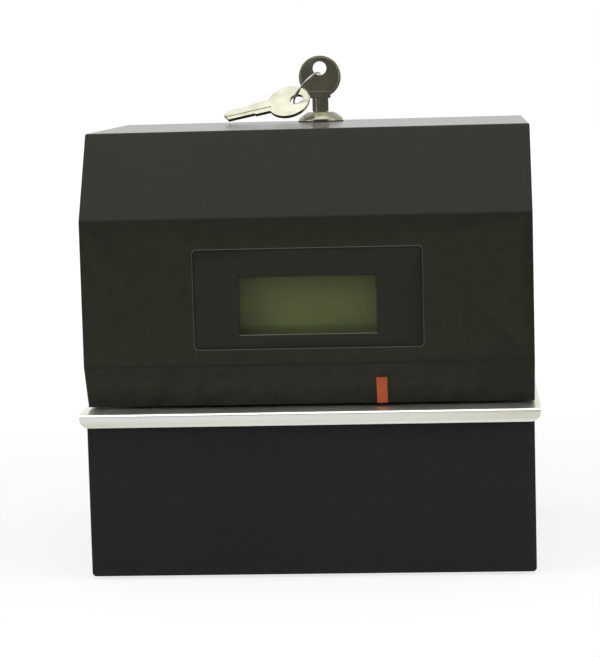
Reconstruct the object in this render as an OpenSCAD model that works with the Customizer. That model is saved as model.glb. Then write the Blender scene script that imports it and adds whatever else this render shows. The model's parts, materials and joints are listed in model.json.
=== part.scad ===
// Date and time stamp machine: a steel case in two halves around a card slot, with a
// moving dot print head and its ribbon above the slot, and the power supply in the base.
// Millimetres. +X is to the viewer's right, -Y faces the user, +Z is up, and the origin is
// on the desk under the middle of the machine.

/* [Case] */
// Width over the painted case
body_w = 216; // [208:1:226]
// Depth from the front face to the back of the rear panel
body_d = 177; // [172:1:190]
// Thickness of the base's painted sheet
case_t = 1.5; // [1.2:0.1:1.8]
// Thickness of the cover's painted sheet
cover_t = 1.2; // [1:0.1:1.4]
// Running gap between the cover and what it slides over
cover_gap = 0.3; // [0.2:0.05:0.5]
// Radius of the bends along the base's lower edges
bend_r = 2; // [1.8:0.1:4]
// Height of the rubber feet under the base
foot_h = 1.5; // [1:0.5:3]
// Radius of a rubber foot
foot_r = 7; // [5:0.5:8]
// Distance of the feet from the case's sides, front and back
foot_inset = 18; // [14:1:22]

/* [Card table] */
// Height of the card table's top face above the desk
table_h = 82; // [79:1:90]
// Width of the card table
table_w = 222; // [220:1:232]
// Thickness of the card table's stainless sheet
table_t = 1.2; // [1:0.1:1.5]
// How far the card table's lip stands in front of the case
lip_over = 5.5; // [5:0.5:9]
// Height of the card table's turned-down lip
lip_drop = 6; // [5.5:0.5:10]
// Outer bend radius of the card table's lip
lip_bend_r = 2.5; // [2:0.1:3]
// Corner radius at the two ends of the lip
lip_end_r = 5; // [3:0.5:6]
// Gap between the card table and the cover's lower edge
slot_gap = 1.4; // [1.2:0.1:2]
// Height of the card space under the mechanism deck
throat_h = 6; // [5.5:0.5:8]

/* [Cover] */
// Height of the undercut strip at the bottom of the cover
lip_h = 20.6; // [18:0.2:24]
// How far the cover's lower edge stands back from its face
lip_setback = 11; // [9:0.5:12]
// Height of the cover's upright face
face_h = 71; // [70:1:80]
// Height of the cover's sloping top strip
slope_h = 41; // [39:1:50]
// How far the cover's top edge stands back from its face
top_setback = 30; // [24:1:36]
// How far the cover lifts to come clear of the frame
cover_lift = 140; // [135:1:170]

/* [Display] */
// Sideways place of the display's middle
display_x = 0.8; // [-1:0.1:2]
// Height of the bezel's middle above the cover's lower crease
display_rise = 32; // [30:0.5:34]
// Width of the bezel
bezel_w = 110; // [104:1:112]
// Height of the bezel
bezel_h = 48; // [44:1:49]
// Depth of the bezel's face below the cover's face
bezel_sink = 0.6; // [0.3:0.1:0.9]
// Width of the display window
window_w = 66.6; // [62:0.2:70]
// Height of the display window
window_h = 28.4; // [26:0.2:30]
// How far the window's middle is below the bezel's middle
window_drop = 3.2; // [2:0.2:4]
// Thickness of the clear pane
pane_t = 1.2; // [1:0.1:1.5]

/* [Pointer] */
// Sideways place of the red print pointer
pointer_x = 35.2; // [32:0.2:38]
// Width of the pointer
pointer_w = 5.2; // [4.4:0.2:6.4]
// Length of the pointer along the undercut strip
pointer_l = 15; // [12:0.2:18]
// How far the pointer stands out of the cover
pointer_proud = 0.9; // [0.6:0.1:1.4]

/* [Lock and keys] */
// Distance of the lock's axis from the back of the case
lock_back = 20; // [19:0.5:22]
// Radius of the lock's domed rim
rim_r = 11.9; // [11:0.1:13]
// Height of the lock's dome above the cover
dome_h = 5; // [4:0.2:6]
// Radius of the lock's threaded barrel
barrel_r = 9.5; // [9:0.1:10]
// Radius of the turning plug
plug_r = 6; // [5.6:0.1:6.4]
// Length of the barrel below the cover's outer face
barrel_l = 22; // [20:1:24]
// Reach of the cam from the lock's axis
cam_l = 15.5; // [14.5:0.5:16]
// Radius of a key's bow
bow_r = 11.35; // [11:0.05:12]
// Thickness of a key
key_t = 2; // [1.8:0.1:2.2]
// Width of a key's neck
neck_w = 8.7; // [8.2:0.1:9.2]
// Length of a key's blade below its shoulder
blade_l = 17; // [15:0.5:19]
// Radius of the key ring's wire
wire_r = 0.5; // [0.4:0.05:0.6]

/* [Print mechanism] */
// Distance of the print line from the front face
print_depth = 66.5; // [65:0.5:68]
// Sideways travel of the print head, to the left of its rest place
print_travel = 45; // [30:1:46]
// Radius of the guide shafts
shaft_r = 4; // [3:0.25:4.25]
// Distance between the two guide shafts
shaft_pitch = 28; // [26:1:30]
// Height of the guide shafts above the deck
shaft_rise = 14.5; // [13.5:0.5:16]
// Radius of the stepping motor
motor_r = 17.5; // [15:0.5:18]
// Height of the stepping motor
motor_h = 22; // [16:1:23]
// Radius at which the toothed belt runs on its pulleys
belt_r = 5.05; // [4.5:0.05:6]
// Thickness of the toothed belt
belt_t = 1.2; // [0.9:0.1:1.4]
// Width of the toothed belt
belt_w = 5.6; // [5:0.2:6]
// Radius of the print head's body
head_r = 12; // [11:0.5:13]
// Travel of the print wires
wire_stroke = 0.4; // [0.3:0.05:0.5]
// Teeth on each of the two ribbon gears
gear_teeth = 14; // [12:2:14]
// Module of the ribbon gears
gear_m = 1; // [0.9:0.05:1.05]
// Forward travel of the paper stop
stop_travel = 15; // [10:1:16]
// Swing of the paper trigger, in degrees
trigger_swing = 10; // [6:1:10]
// Travel of the setting buttons
button_stroke = 0.8; // [0.5:0.1:0.9]

/* [Back] */
// Height of the wall-mounting keyholes above the desk
keyhole_z = 150; // [140:1:160]
// Distance between the two wall-mounting keyholes
keyhole_pitch = 130; // [120:1:140]
// Radius of a keyhole's round entry
keyhole_r = 4.5; // [4:0.1:5]
// Sideways place of the power socket
inlet_x = -60; // [-64:1:-56]
// Height of the power socket above the desk
inlet_z = 32; // [28:1:40]
// How far the power socket's rim stands behind the rear panel
rear_proud = 2.5; // [2:0.1:3.5]

/* [Hidden] */
$fn = 48;
seam = 0.01;

// Sheet, clearances and screws used throughout
sheet_t = 1.5;
fit = 0.3;
close_fit = 0.05;
screw_r = 1.5;
screw_hole_r = screw_r + close_fit;
screw_head_r = 3;
screw_head_h = 1.8;
pcb_t = 1.6;

// Overall depth and the case's main planes
total_d = lip_over + body_d + rear_proud + screw_head_h;
front_y = -total_d / 2 + lip_over;
rear_y = front_y + body_d;
panel_y = rear_y - sheet_t;
half_w = body_w / 2;
inner_x = half_w - cover_t - cover_gap;
cover_in_x = half_w - cover_t;

// Heights of the slot, the cover and the deck
floor_z = foot_h + case_t;
table_bottom = table_h - table_t;
shell_top_in = table_bottom - case_t;
cover_z = table_h + slot_gap;
crease_lo = cover_z + lip_h;
crease_hi = crease_lo + face_h;
body_h = crease_hi + slope_h;
cover_in_z = body_h - cover_t;
deck_z = table_h + throat_h;
deck_top = deck_z + sheet_t;

// Base shell, bottom pan and feet
flange_w = 12;
floor_w = foot_inset + foot_r + 5;
pan_lap = 6;
pan_x = half_w - floor_w + pan_lap;
pan_y = [front_y + floor_w - pan_lap, rear_y - floor_w + pan_lap];
pan_top = floor_z + sheet_t;
foot_x = half_w - foot_inset;
foot_y = [front_y + foot_inset, rear_y - foot_inset];
stem_r = 3;

// Side frames: the base part, the column behind the card space and the upper part
frame_in_x = inner_x - sheet_t;
frame_top = cover_in_z - cover_gap;
frame_front_y = front_y + lip_setback + 3.5;
column_y = front_y + 110.5;
slope_back = 5;
tab_w = 12;
tab_y = panel_y - sheet_t;
deck_back_y = tab_y - fit;
table_back_y = tab_y - fit;

// The print line, the guide shafts and the carriage
print_y = front_y + print_depth;
head_x = pointer_x - 0.2;
shaft_y = [print_y + 28, print_y + 28 + shaft_pitch];
shaft_z = deck_top + shaft_rise;
block_t = 6;
block_left_x = 2 * motor_r + 10 - frame_in_x;
block_right_x = frame_in_x - 31;
block_y = [shaft_y[0] - 8, shaft_y[1] + 8];
block_top = shaft_z + 9;
bush_r = shaft_r + 1;
bush_l = 9;
carriage_x = [head_x - 16, head_x + 16];
carriage_y = [shaft_y[0] - 10, shaft_y[1] + 10];
carriage_z = [shaft_z - 9, shaft_z + 9];
arm_x = [head_x - 14, head_x + 14];
arm_y = [print_y - 18, shaft_y[0] + 4];
arm_z = [carriage_z[1] - 1, carriage_z[1] + 3];
nose_z = table_h + 2.2;
nose_half = [4.5, 2.5];
collar_r = 9;
head_h = 24;
fin_r = head_r + 5;
fin_count = 5;
fin_t = 1;

// Belt drive
belt_y = (shaft_y[0] + shaft_y[1]) / 2;
belt_z = [block_top + 5, block_top + 5 + belt_w];
motor_x = block_left_x - motor_r - 2.5;
idler_x = block_right_x + block_t + 12;
belt_in = belt_r + close_fit;
belt_out = belt_in + belt_t;
pulley_rim_r = belt_out + 1.2;
pulley_rim_t = 1;
motor_shaft_r = 2.5;
idler_pin_r = 2;

// Ribbon cartridge
cart_x = [head_x - 85, head_x + 39];
cart_y = [print_y - 42.5, print_y - 18.5];
cart_z = [deck_top, deck_top + 16.5];
cart_wall = 1.5;
lid_top = cart_z[1] + cart_wall;
cart_arm_w = 10;
arm_left_x = cart_x[0] + 6;
arm_right_x = cart_x[1] - 6 - cart_arm_w;
cart_arm_y = [print_y - 7, print_y + 7];
ribbon_z = table_h + 1.3;
ribbon_t = 0.2;
ribbon_half = 6;
gear_pitch_r = gear_m * gear_teeth / 2;
gear_gap = 0.15;
knob_at = [cart_x[0] + 12, (cart_y[0] + cart_y[1]) / 2];
idle_at = [knob_at[0] + 2 * gear_pitch_r + gear_gap, knob_at[1]];
gear_z = [cart_z[0] + 4, cart_z[0] + 11];
gear_stub_r = 2;
knob_shaft_r = 3;
knob_r = 8;
knob_h = 7;

// Deck window around the nose and the cartridge's arms
deck_window_x = [arm_left_x - 2, arm_right_x + cart_arm_w + 2];
deck_window_y = [cart_y[1] - 1, cart_arm_y[1] + 3];

// Paper stop and its clamping knob
stop_x = head_x - 9;
stop_half = 4;
stop_y = print_y + 34;
stop_z = [deck_top + fit, deck_top + fit + 1.2];
stud_y = shaft_y[1] + 26;
stud_r = 2;
stop_slot_y = [stud_y - stud_r - 0.5, stud_y + stud_r + stop_travel + 0.5];
stop_back_y = stop_slot_y[1] + 3;
stop_knob_r = 7;
stop_knob_h = 7;

// Paper trigger, its bracket and its switch, under the table
trigger_x = head_x;
trigger_half = 1.5;
trigger_y = print_y + 18;
trigger_z = table_bottom - 12.8;
trigger_pin_r = 1.5;
trigger_hub_r = 4;
finger_y = trigger_y - 4;
finger_half = 1.5;
finger_top = deck_z - 1;
tail_l = 14;
tail_half = 2;
cheek_x = [trigger_x - trigger_half - fit, trigger_x + trigger_half + 4];
spring_r = 2.7;
spring_wire_r = 0.3;
switch_top = trigger_z - tail_half - tail_l * sin(trigger_swing) - 1.2;

// Anvil under the print line
anvil_x = [head_x - print_travel - 26, head_x + 26];
anvil_half = 4;
anvil_z = [table_h - 10, table_h];

// Display stack, from the glass back to its bracket
bezel_z = crease_lo + display_rise;
window_z = bezel_z - window_drop;
bezel_r = 1.8;
bezel_rim = 0.4;
bezel_t = 2.4;
bezel_flange = 4;
pane_lap = 2;
pane_y = front_y + bezel_sink + 1;
tunnel_wall = 1.5;
lcd_front_y = frame_front_y - 0.2;
tunnel_back_y = lcd_front_y - 1;
lcd_t = 3.4;
lcd_border = 4;
lcd_w = window_w + 16;
lcd_h = window_h + 12;
lcd_board_y = lcd_front_y + lcd_t;
lcd_post = 2.2;
lcd_bracket_y = lcd_board_y + pcb_t + lcd_post;
button_pitch = 8;
button_x = [for (i = [0:2]) display_x + lcd_w / 2 + 7 + button_pitch * i];
button_r = 1.6;
button_body = 3;
lcd_board_x = [display_x - lcd_w / 2 - 8, button_x[2] + 7];
lcd_board_z = [window_z - lcd_h / 2 - 5, window_z + lcd_h / 2 + 5];

// Pointer, held by two pegs through the undercut strip
pointer_end = norm([lip_setback, lip_h]) - 0.5;
peg_r = pointer_w / 2 - 1;
pointer_pegs = [pointer_end - pointer_l + 3, pointer_end - 3.5];

// Lock, cam and keeper
lock_y = rear_y - lock_back;
rim_h = 1.2;
plug_top = body_h + dome_h;
barrel_z = body_h - barrel_l;
nut_r = 14;
nut_h = 4.5;
cam_gap = 0.3;
cam_t = 2;
cam_z = [barrel_z - cam_gap - cam_t, barrel_z - cam_gap];
cam_half = 5;
stub_r = 4;
keeper_y = panel_y - 7;
keeper_half = 9;

// Keys: a round bow, a neck and a blade; the bow's middle is the key's own origin
bow_hole_r = 3.65;
bow_hole_off = 4.5;
neck_l = 18.7;
blade_w = 7.2;
bow_z = plug_top + fit + neck_l;
key_groove = [1.4, 0.4];

// The wire ring through both keys: its radius, its middle and the turns of its plane;
// the spare key hangs from it, with its blade's slope and the tilt of its flat face
ring_r = 10.6;
ring_at = [-7.1, lock_y + 0.1, bow_z - 6.2];
ring_turn = [0, 128, -18];
spare_slope = 11.5;
spare_tilt = 42;
spare_at = [-16.6, lock_y - 7.8, bow_z - 13.2];

// Main board on the rear panel
board_x = inner_x - 21.5;
board_z = [deck_top + 12, deck_top + 92];
board_y = panel_y - 9;
loom_r = 2.5;
loom_hole_r = 5;
loom_at = [board_x + 4, board_y - 4];
header_z = [board_z[0] + 12, board_z[0] + 21];

// Flat cable from the display to the main board
flat_x = [-40, -24];
flat_t = 0.8;
flat_top = frame_top - 24;
flat_y = [lcd_board_y + pcb_t + 0.6, board_y - 3];
flat_bend = 6;

// Power socket and supply in the base
inlet_size = [27, 19.6];
inlet_depth = 20;
socket_size = [24.4, 16.8];
socket_depth = 15;
socket_cut = 4;
inlet_plate = [50, 23];
inlet_screw_x = 20;
core_at = [38 - pan_x, 0];
core_size = [54, 22, 48];
core_leg = 10;
core_window = [10, 30];
coil_d = 48;
supply_x = [0, pan_x - 6];
supply_y = [front_y + floor_w + 2, front_y + floor_w + 66];
supply_z = pan_top + 5;
terminal_top = supply_z + pcb_t + 10;
battery_at = [12, supply_y[1] + 12];
battery_r = 7.2;
battery_l = 44;

// Screw places
side_screw_y = [front_y + 80, rear_y - 25];
side_screw_z = 53;
panel_screw_x = inner_x - tab_w / 2 - 1;
panel_screw_z = [22, 72, 122, 196];
pan_screws = [for (x = [-1, 1], y = [0, 0.65, 1])
    [x * (pan_x - pan_lap / 2), pan_y[0] + pan_lap / 2 + y * (pan_y[1] - pan_y[0] - pan_lap)]];
deck_lug_z = [deck_z, deck_z + 14];
deck_screw_y = [column_y - 60, rear_y - 24];
block_lug_y = [block_y[0] - 7, block_y[1] + 7];
lug_t = 3;
keeper_screw_x = 5;
keeper_top = cam_z[1] + 0.6 + sheet_t + 12;
board_posts = [for (x = [-board_x + 5, board_x - 5], z = [board_z[0] + 5, board_z[1] - 5])
    [x, z]];
supply_posts = [for (x = [supply_x[0] + 4, supply_x[1] - 4],
                     y = [supply_y[0] + 4, supply_y[1] - 4]) [x, y]];
lcd_posts = [for (x = [lcd_board_x[0] + 3, lcd_board_x[1] - 3],
                  z = [lcd_board_z[0] + 3, lcd_board_z[1] - 3]) [x, z]];
block_screws = [for (x = [block_left_x + block_t / 2, block_right_x + block_t / 2],
                     y = [block_y[0] - 4, block_y[1] + 4]) [x, y]];
motor_ears = [for (s = [-1, 1]) [motor_x, belt_y + s * (motor_r + 4)]];
lcd_feet = [for (x = [lcd_board_x[0] + 10, lcd_board_x[1] - 10])
    [x, (frame_front_y + lcd_bracket_y) / 2 + 0.5]];
core_feet = [for (s = [-1, 1]) [core_at[0] + s * (core_size[0] / 2 + 5), core_at[1]]];
idler_feet = [for (s = [-1, 1]) [idler_x, belt_y + s * 13]];
deck_screws = concat(block_screws, motor_ears, lcd_feet, idler_feet);

// ---- Shapes that repeat ----

// A block between two corners, given as a range along each axis
module block(x, y, z) {
    translate([x[0], y[0], z[0]])
        cube([x[1] - x[0], y[1] - y[0], z[1] - z[0]]);
}

// Round bars along each axis: at is the place across the bar
module bar_x(at, r, x) {
    translate([x[0], at[0], at[1]])
        rotate([0, 90, 0]) cylinder(r = r, h = x[1] - x[0]);
}

module bar_y(at, r, y) {
    translate([at[0], y[0], at[1]])
        rotate([-90, 0, 0]) cylinder(r = r, h = y[1] - y[0]);
}

module bar_z(at, r, z) {
    translate([at[0], at[1], z[0]]) cylinder(r = r, h = z[1] - z[0]);
}

// A flat shape drawn in Y and Z, made thick along X
module side_shape(x) {
    translate([x[0], 0, 0])
        rotate([90, 0, 90]) linear_extrude(x[1] - x[0]) children();
}

// A flat shape drawn in X and Z, made thick along Y
module front_shape(y) {
    translate([0, y[1], 0])
        rotate([90, 0, 0]) linear_extrude(y[1] - y[0]) children();
}

// A flat shape drawn in X and Y, made thick along Z
module plan_shape(z) {
    translate([0, 0, z[0]]) linear_extrude(z[1] - z[0]) children();
}

// A rectangle around the origin with four round corners
module round_rect(size, r) {
    square([size[0] - 2 * r, size[1]], center = true);
    square([size[0], size[1] - 2 * r], center = true);
    for (x = [-1, 1], y = [-1, 1])
        translate([x * (size[0] / 2 - r), y * (size[1] / 2 - r)]) circle(r);
}

module both_sides() {
    children();
    mirror([1, 0, 0]) children();
}

// A pan-head screw with a cross recess; its shank points along -Z from its seat
module pan_screw(shank) {
    difference() {
        union() {
            cylinder(r = screw_head_r, h = screw_head_h * 0.45);
            translate([0, 0, screw_head_h * 0.45])
                cylinder(r1 = screw_head_r, r2 = screw_head_r * 0.6, h = screw_head_h * 0.55);
            translate([0, 0, -shank]) cylinder(r = screw_r, h = shank);
        }
        for (a = [0, 90])
            rotate(a) translate([0, 0, screw_head_h]) cube([3.2, 0.8, 1.6], center = true);
    }
}

// Screws at a list of places; turn points the heads, as rotate() angles
module screw_set(places, turn, shank) {
    for (p = places)
        translate(p) rotate(turn) pan_screw(shank);
}

// A round lead through a list of points, with a square elbow at each bend
module lead(points, r) {
    for (i = [0:len(points) - 2]) {
        d = points[i + 1] - points[i];
        translate(points[i])
            rotate([0, acos(d[2] / norm(d)), atan2(d[1], d[0])]) cylinder(r = r, h = norm(d));
    }
    for (i = [1:len(points) - 2])
        translate(points[i]) cube(2 * r + 0.4, center = true);
}

// Involute of the pressure angle a, in degrees
function involute(a) = tan(a) * 180 / PI - a;

// A tooth's half angle at radius r
function tooth_half(r) =
    88 / gear_teeth + involute(20) - involute(acos(min(1, gear_pitch_r * cos(20) / r)));

// A ribbon gear's outline: root, flank and tip points of each tooth
function gear_outline() =
    let (base = gear_pitch_r * cos(20) + 0.02,
         tip = gear_pitch_r + 0.85 * gear_m,
         root = gear_pitch_r - 1.15 * gear_m,
         radii = [root, base, (base + tip) / 2, tip])
    [for (i = [0:gear_teeth - 1], k = [0:7])
        let (up = k < 4,
             r = radii[up ? k : 7 - k],
             a = 360 / gear_teeth * i + (up ? -1 : 1) * tooth_half(max(r, base)))
        r * [cos(a), sin(a)]];

module ribbon_gear(turn) {
    rotate(turn) linear_extrude(gear_z[1] - gear_z[0]) polygon(gear_outline());
}

// ---- The cover's outline in Y and Z ----

function unit(v) = v / norm(v);

// Inward direction of the edge from a to b, where the outline runs clockwise
function inward(a, b) = let (u = unit(b - a)) [u[1], -u[0]];

// Corner b of the outline, moved in by d from both of its edges
function inset(a, b, c, d) =
    let (m = inward(a, b), n = inward(b, c)) b + d * (m + n) / (1 + m * n);

cover_line = [
    [front_y + lip_setback, cover_z],
    [front_y, crease_lo],
    [front_y, crease_hi],
    [front_y + top_setback, body_h],
    [rear_y, body_h],
    [rear_y, cover_z]
];

// The cover's hollow, which runs out past its open bottom and back
function cover_hollow(d) =
    let (p = cover_line,
         u = unit(p[1] - p[0]),
         past = 3)
    [
        p[0] + d * inward(p[0], p[1]) - past * u,
        inset(p[0], p[1], p[2], d),
        inset(p[1], p[2], p[3], d),
        inset(p[2], p[3], p[4], d),
        [rear_y + past, body_h - d],
        [rear_y + past, cover_z - past]
    ];

// Height of the sloping strip's outer face at a depth y
function slope_at(y) = crease_hi + (y - front_y) * slope_h / top_setback;

// ---- Base ----

// The base's outline in X and Z, set in by d
module base_outline(d, top) {
    w = half_w - d;
    r = max(bend_r - d, 0.3);
    z = foot_h + d;
    translate([-w, z + r]) square([2 * w, top - z - r]);
    translate([r - w, z]) square([2 * (w - r), r + seam]);
    for (x = [-1, 1])
        translate([x * (w - r), z + r]) circle(r);
}

module base_shell() {
    color("#262626") difference() {
        front_shape([front_y, rear_y]) base_outline(0, table_bottom);
        front_shape([front_y + case_t, rear_y + 1]) base_outline(case_t, shell_top_in);
        // Opening between the top flanges, full width behind the card space
        block([flange_w - half_w, half_w - flange_w], [front_y + flange_w, rear_y + 1],
              [shell_top_in - 1, table_bottom + 1]);
        block([-inner_x, inner_x], [column_y - fit, rear_y + 1],
              [shell_top_in - 1, table_bottom + 1]);
        // Opening in the floor, closed by the bottom pan
        block([floor_w - half_w, half_w - floor_w], [front_y + floor_w, rear_y - floor_w],
              [foot_h - 1, floor_z + 1]);
        for (x = [-foot_x, foot_x], y = foot_y)
            bar_z([x, y], stem_r + close_fit, [foot_h - 1, floor_z + 1]);
        for (p = pan_screws)
            translate([p[0], p[1], foot_h])
                cylinder(r1 = screw_head_r, r2 = screw_hole_r, h = case_t + seam);
        for (y = side_screw_y)
            bar_x([y, side_screw_z], screw_hole_r, [-half_w - 1, half_w + 1]);
    }
}

module bottom_pan() {
    slot_count = 6;
    color("#8d9194") difference() {
        block([-pan_x, pan_x], pan_y, [floor_z, pan_top]);
        for (p = concat(pan_screws, core_feet))
            bar_z(p, screw_hole_r, [floor_z - 1, pan_top + 1]);
        // Air slots under the power board
        for (i = [0:slot_count - 1])
            block([20 + 8 * i, 23 + 8 * i], [supply_y[0] + 14, supply_y[0] + 44],
                  [floor_z - 1, pan_top + 1]);
    }
}

module rubber_feet() {
    color("#1c1c1c") for (x = [-foot_x, foot_x], y = foot_y) {
        bar_z([x, y], foot_r, [0, foot_h]);
        bar_z([x, y], stem_r, [foot_h - seam, floor_z + seam]);
        translate([x, y, floor_z]) cylinder(r1 = stem_r + 1.2, r2 = stem_r - 0.6, h = 2.5);
    }
}

// The stainless sheet that cards slide on, with its turned-down front lip
module card_table() {
    half = table_w / 2;
    lip_y = front_y - lip_over;
    in_r = lip_bend_r - table_t;
    lip_z = table_h - lip_drop;
    color("#c9c5bb") difference() {
        side_shape([-half, half]) {
            translate([lip_y + lip_bend_r, table_bottom])
                square([table_back_y - lip_y - lip_bend_r, table_t]);
            translate([lip_y, lip_z]) square([table_t, lip_drop - lip_bend_r]);
            translate([lip_y + lip_bend_r, table_h - lip_bend_r]) difference() {
                circle(lip_bend_r);
                circle(in_r);
                translate([-lip_bend_r, -2 * lip_bend_r]) square(2 * lip_bend_r);
                translate([0, -lip_bend_r]) square(2 * lip_bend_r);
            }
        }
        // Round lower corners at the lip's ends
        both_sides() front_shape([lip_y - 1, lip_y + table_t + 1]) difference() {
            translate([half - lip_end_r, lip_z - 1]) square(lip_end_r + 1);
            translate([half - lip_end_r, lip_z - 1]) square([seam, seam]);
            translate([half - lip_end_r, lip_z + lip_end_r]) circle(lip_end_r);
        }
        // Slots for the side frames, the anvil, the paper trigger and the leads
        both_sides() block([frame_in_x - fit, inner_x + fit],
                           [column_y - fit, table_back_y + 1],
                           [table_bottom - 1, table_h + 1]);
        block([anvil_x[0] - fit, anvil_x[1] + fit],
              [print_y - anvil_half - fit, print_y + anvil_half + fit],
              [table_bottom - 1, table_h + 1]);
        block([trigger_x - trigger_half - 1, trigger_x + trigger_half + 1],
              [finger_y - finger_half - 1, finger_y + finger_half + 5],
              [table_bottom - 1, table_h + 1]);
        bar_z(loom_at, loom_hole_r, [table_bottom - 1, table_h + 1]);
    }
}

module anvil_bar() {
    color("#4c4f52")
        block(anvil_x, [print_y - anvil_half, print_y + anvil_half], anvil_z);
}

// The channel that holds the anvil bar up against the table
module anvil_bracket() {
    x = [anvil_x[0] - 6, anvil_x[1] + 6];
    wall = anvil_half + close_fit;
    color("#9a9fa3") {
        block(x, [print_y - wall - sheet_t, print_y + wall + sheet_t],
              [anvil_z[0] - sheet_t, anvil_z[0]]);
        for (s = [-1, 1]) {
            edge = [print_y + s * wall, print_y + s * (wall + sheet_t)];
            brim = [print_y + s * wall, print_y + s * (wall + sheet_t + 5)];
            block(x, [min(edge), max(edge)], [anvil_z[0] - seam, table_bottom]);
            block(x, [min(brim), max(brim)], [table_bottom - sheet_t, table_bottom]);
        }
    }
}

// ---- Frame, deck and rear panel ----

module side_frames() {
    outline = [
        [front_y + flange_w + 2, floor_z + 1],
        [panel_y, floor_z + 1],
        [panel_y, frame_top],
        [front_y + (frame_top + slope_back - crease_hi) * top_setback / slope_h, frame_top],
        [frame_front_y, slope_at(frame_front_y) - slope_back],
        [frame_front_y, deck_z],
        [column_y, deck_z],
        [column_y, shell_top_in],
        [front_y + flange_w + 2, shell_top_in]
    ];
    hole_r = 18;
    color("#a4a8ab") difference() {
        both_sides() {
            side_shape([frame_in_x, inner_x]) polygon(outline);
            block([inner_x - tab_w, inner_x], [tab_y, panel_y], [floor_z + 1, frame_top]);
        }
        for (y = side_screw_y)
            bar_x([y, side_screw_z], screw_hole_r, [-half_w, half_w]);
        for (y = deck_screw_y)
            bar_x([y, deck_lug_z[1] - 5], screw_hole_r, [-half_w, half_w]);
        for (x = [-panel_screw_x, panel_screw_x], z = panel_screw_z)
            bar_y([x, z], screw_hole_r, [tab_y - 1, panel_y + 1]);
        // Lightening holes in the upper part
        for (y = [print_y - 14, print_y + 36])
            bar_x([y, deck_top + 68], hole_r, [-half_w, half_w]);
    }
}

module mechanism_deck() {
    color("#b3b7ba") difference() {
        union() {
            block([-frame_in_x, frame_in_x], [frame_front_y, deck_back_y], [deck_z, deck_top]);
            both_sides() block([frame_in_x - sheet_t, frame_in_x],
                               [frame_front_y + 4, deck_back_y], deck_lug_z);
        }
        block(deck_window_x, deck_window_y, [deck_z - 1, deck_top + 1]);
        block([stop_x - stop_half - fit, stop_x + stop_half + fit],
              [stop_y - stop_travel - 1, stop_y + sheet_t + 1], [deck_z - 1, deck_top + 1]);
        bar_z([stop_x, stud_y], stud_r + close_fit, [deck_z - 1, deck_top + 1]);
        bar_z(loom_at, loom_hole_r, [deck_z - 1, deck_top + 1]);
        for (y = deck_screw_y)
            bar_x([y, deck_lug_z[1] - 5], screw_hole_r, [-half_w, half_w]);
        for (p = deck_screws)
            bar_z(p, screw_hole_r, [deck_z - 1, deck_top + 1]);
    }
}

// A keyhole in the rear panel: a round entry with a slot above it
module keyhole(x) {
    slot_r = keyhole_r * 0.55;
    slot_l = keyhole_r * 2;
    y = [panel_y - 1, rear_y + 1];
    bar_y([x, keyhole_z], keyhole_r, y);
    bar_y([x, keyhole_z + slot_l], slot_r, y);
    block([x - slot_r, x + slot_r], y, [keyhole_z, keyhole_z + slot_l]);
}

module rear_panel() {
    vent_rows = 5;
    vent_r = 1.5;
    cut = [panel_y - 1, rear_y + 1];
    color("#262626") difference() {
        front_shape([panel_y, rear_y]) base_outline(case_t, cover_in_z - cover_gap);
        block([inlet_x - inlet_size[0] / 2 - 0.1, inlet_x + inlet_size[0] / 2 + 0.1], cut,
              [inlet_z - inlet_size[1] / 2 - 0.1, inlet_z + inlet_size[1] / 2 + 0.1]);
        for (x = [-inlet_screw_x, inlet_screw_x])
            bar_y([inlet_x + x, inlet_z], screw_hole_r, cut);
        for (x = [-keyhole_pitch / 2, keyhole_pitch / 2])
            keyhole(x);
        for (x = [-panel_screw_x, panel_screw_x], z = panel_screw_z)
            bar_y([x, z], screw_hole_r, cut);
        for (x = [-keeper_screw_x, keeper_screw_x])
            bar_y([x, keeper_top - 5], screw_hole_r, cut);
        for (p = board_posts)
            bar_y(p, screw_hole_r, cut);
        // Louvre slots beside the power supply
        for (i = [0:vent_rows - 1]) {
            z = 22 + 7 * i;
            block([12, 62], cut, [z - vent_r, z + vent_r]);
            for (x = [12, 62])
                bar_y([x, z], vent_r, cut);
        }
    }
}

// ---- Screws ----

// Screws that show on the outside, and the countersunk ones under the base
module outer_screws() {
    color("#b9bcbe") {
        for (y = side_screw_y) {
            translate([half_w, y, side_screw_z]) rotate([0, 90, 0]) pan_screw(4);
            translate([-half_w, y, side_screw_z]) rotate([0, -90, 0]) pan_screw(4);
        }
        screw_set([for (x = [-panel_screw_x, panel_screw_x], z = panel_screw_z) [x, rear_y, z]],
               [-90, 0, 0], 4);
        screw_set([for (x = [-inlet_screw_x, inlet_screw_x])
                   [inlet_x + x, rear_y + rear_proud, inlet_z]], [-90, 0, 0], 6);
        for (p = pan_screws) {
            translate([p[0], p[1], foot_h])
                cylinder(r1 = screw_head_r - close_fit, r2 = screw_r, h = case_t);
            bar_z(p, screw_r, [floor_z - seam, pan_top + 1.5]);
        }
    }
}

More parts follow.
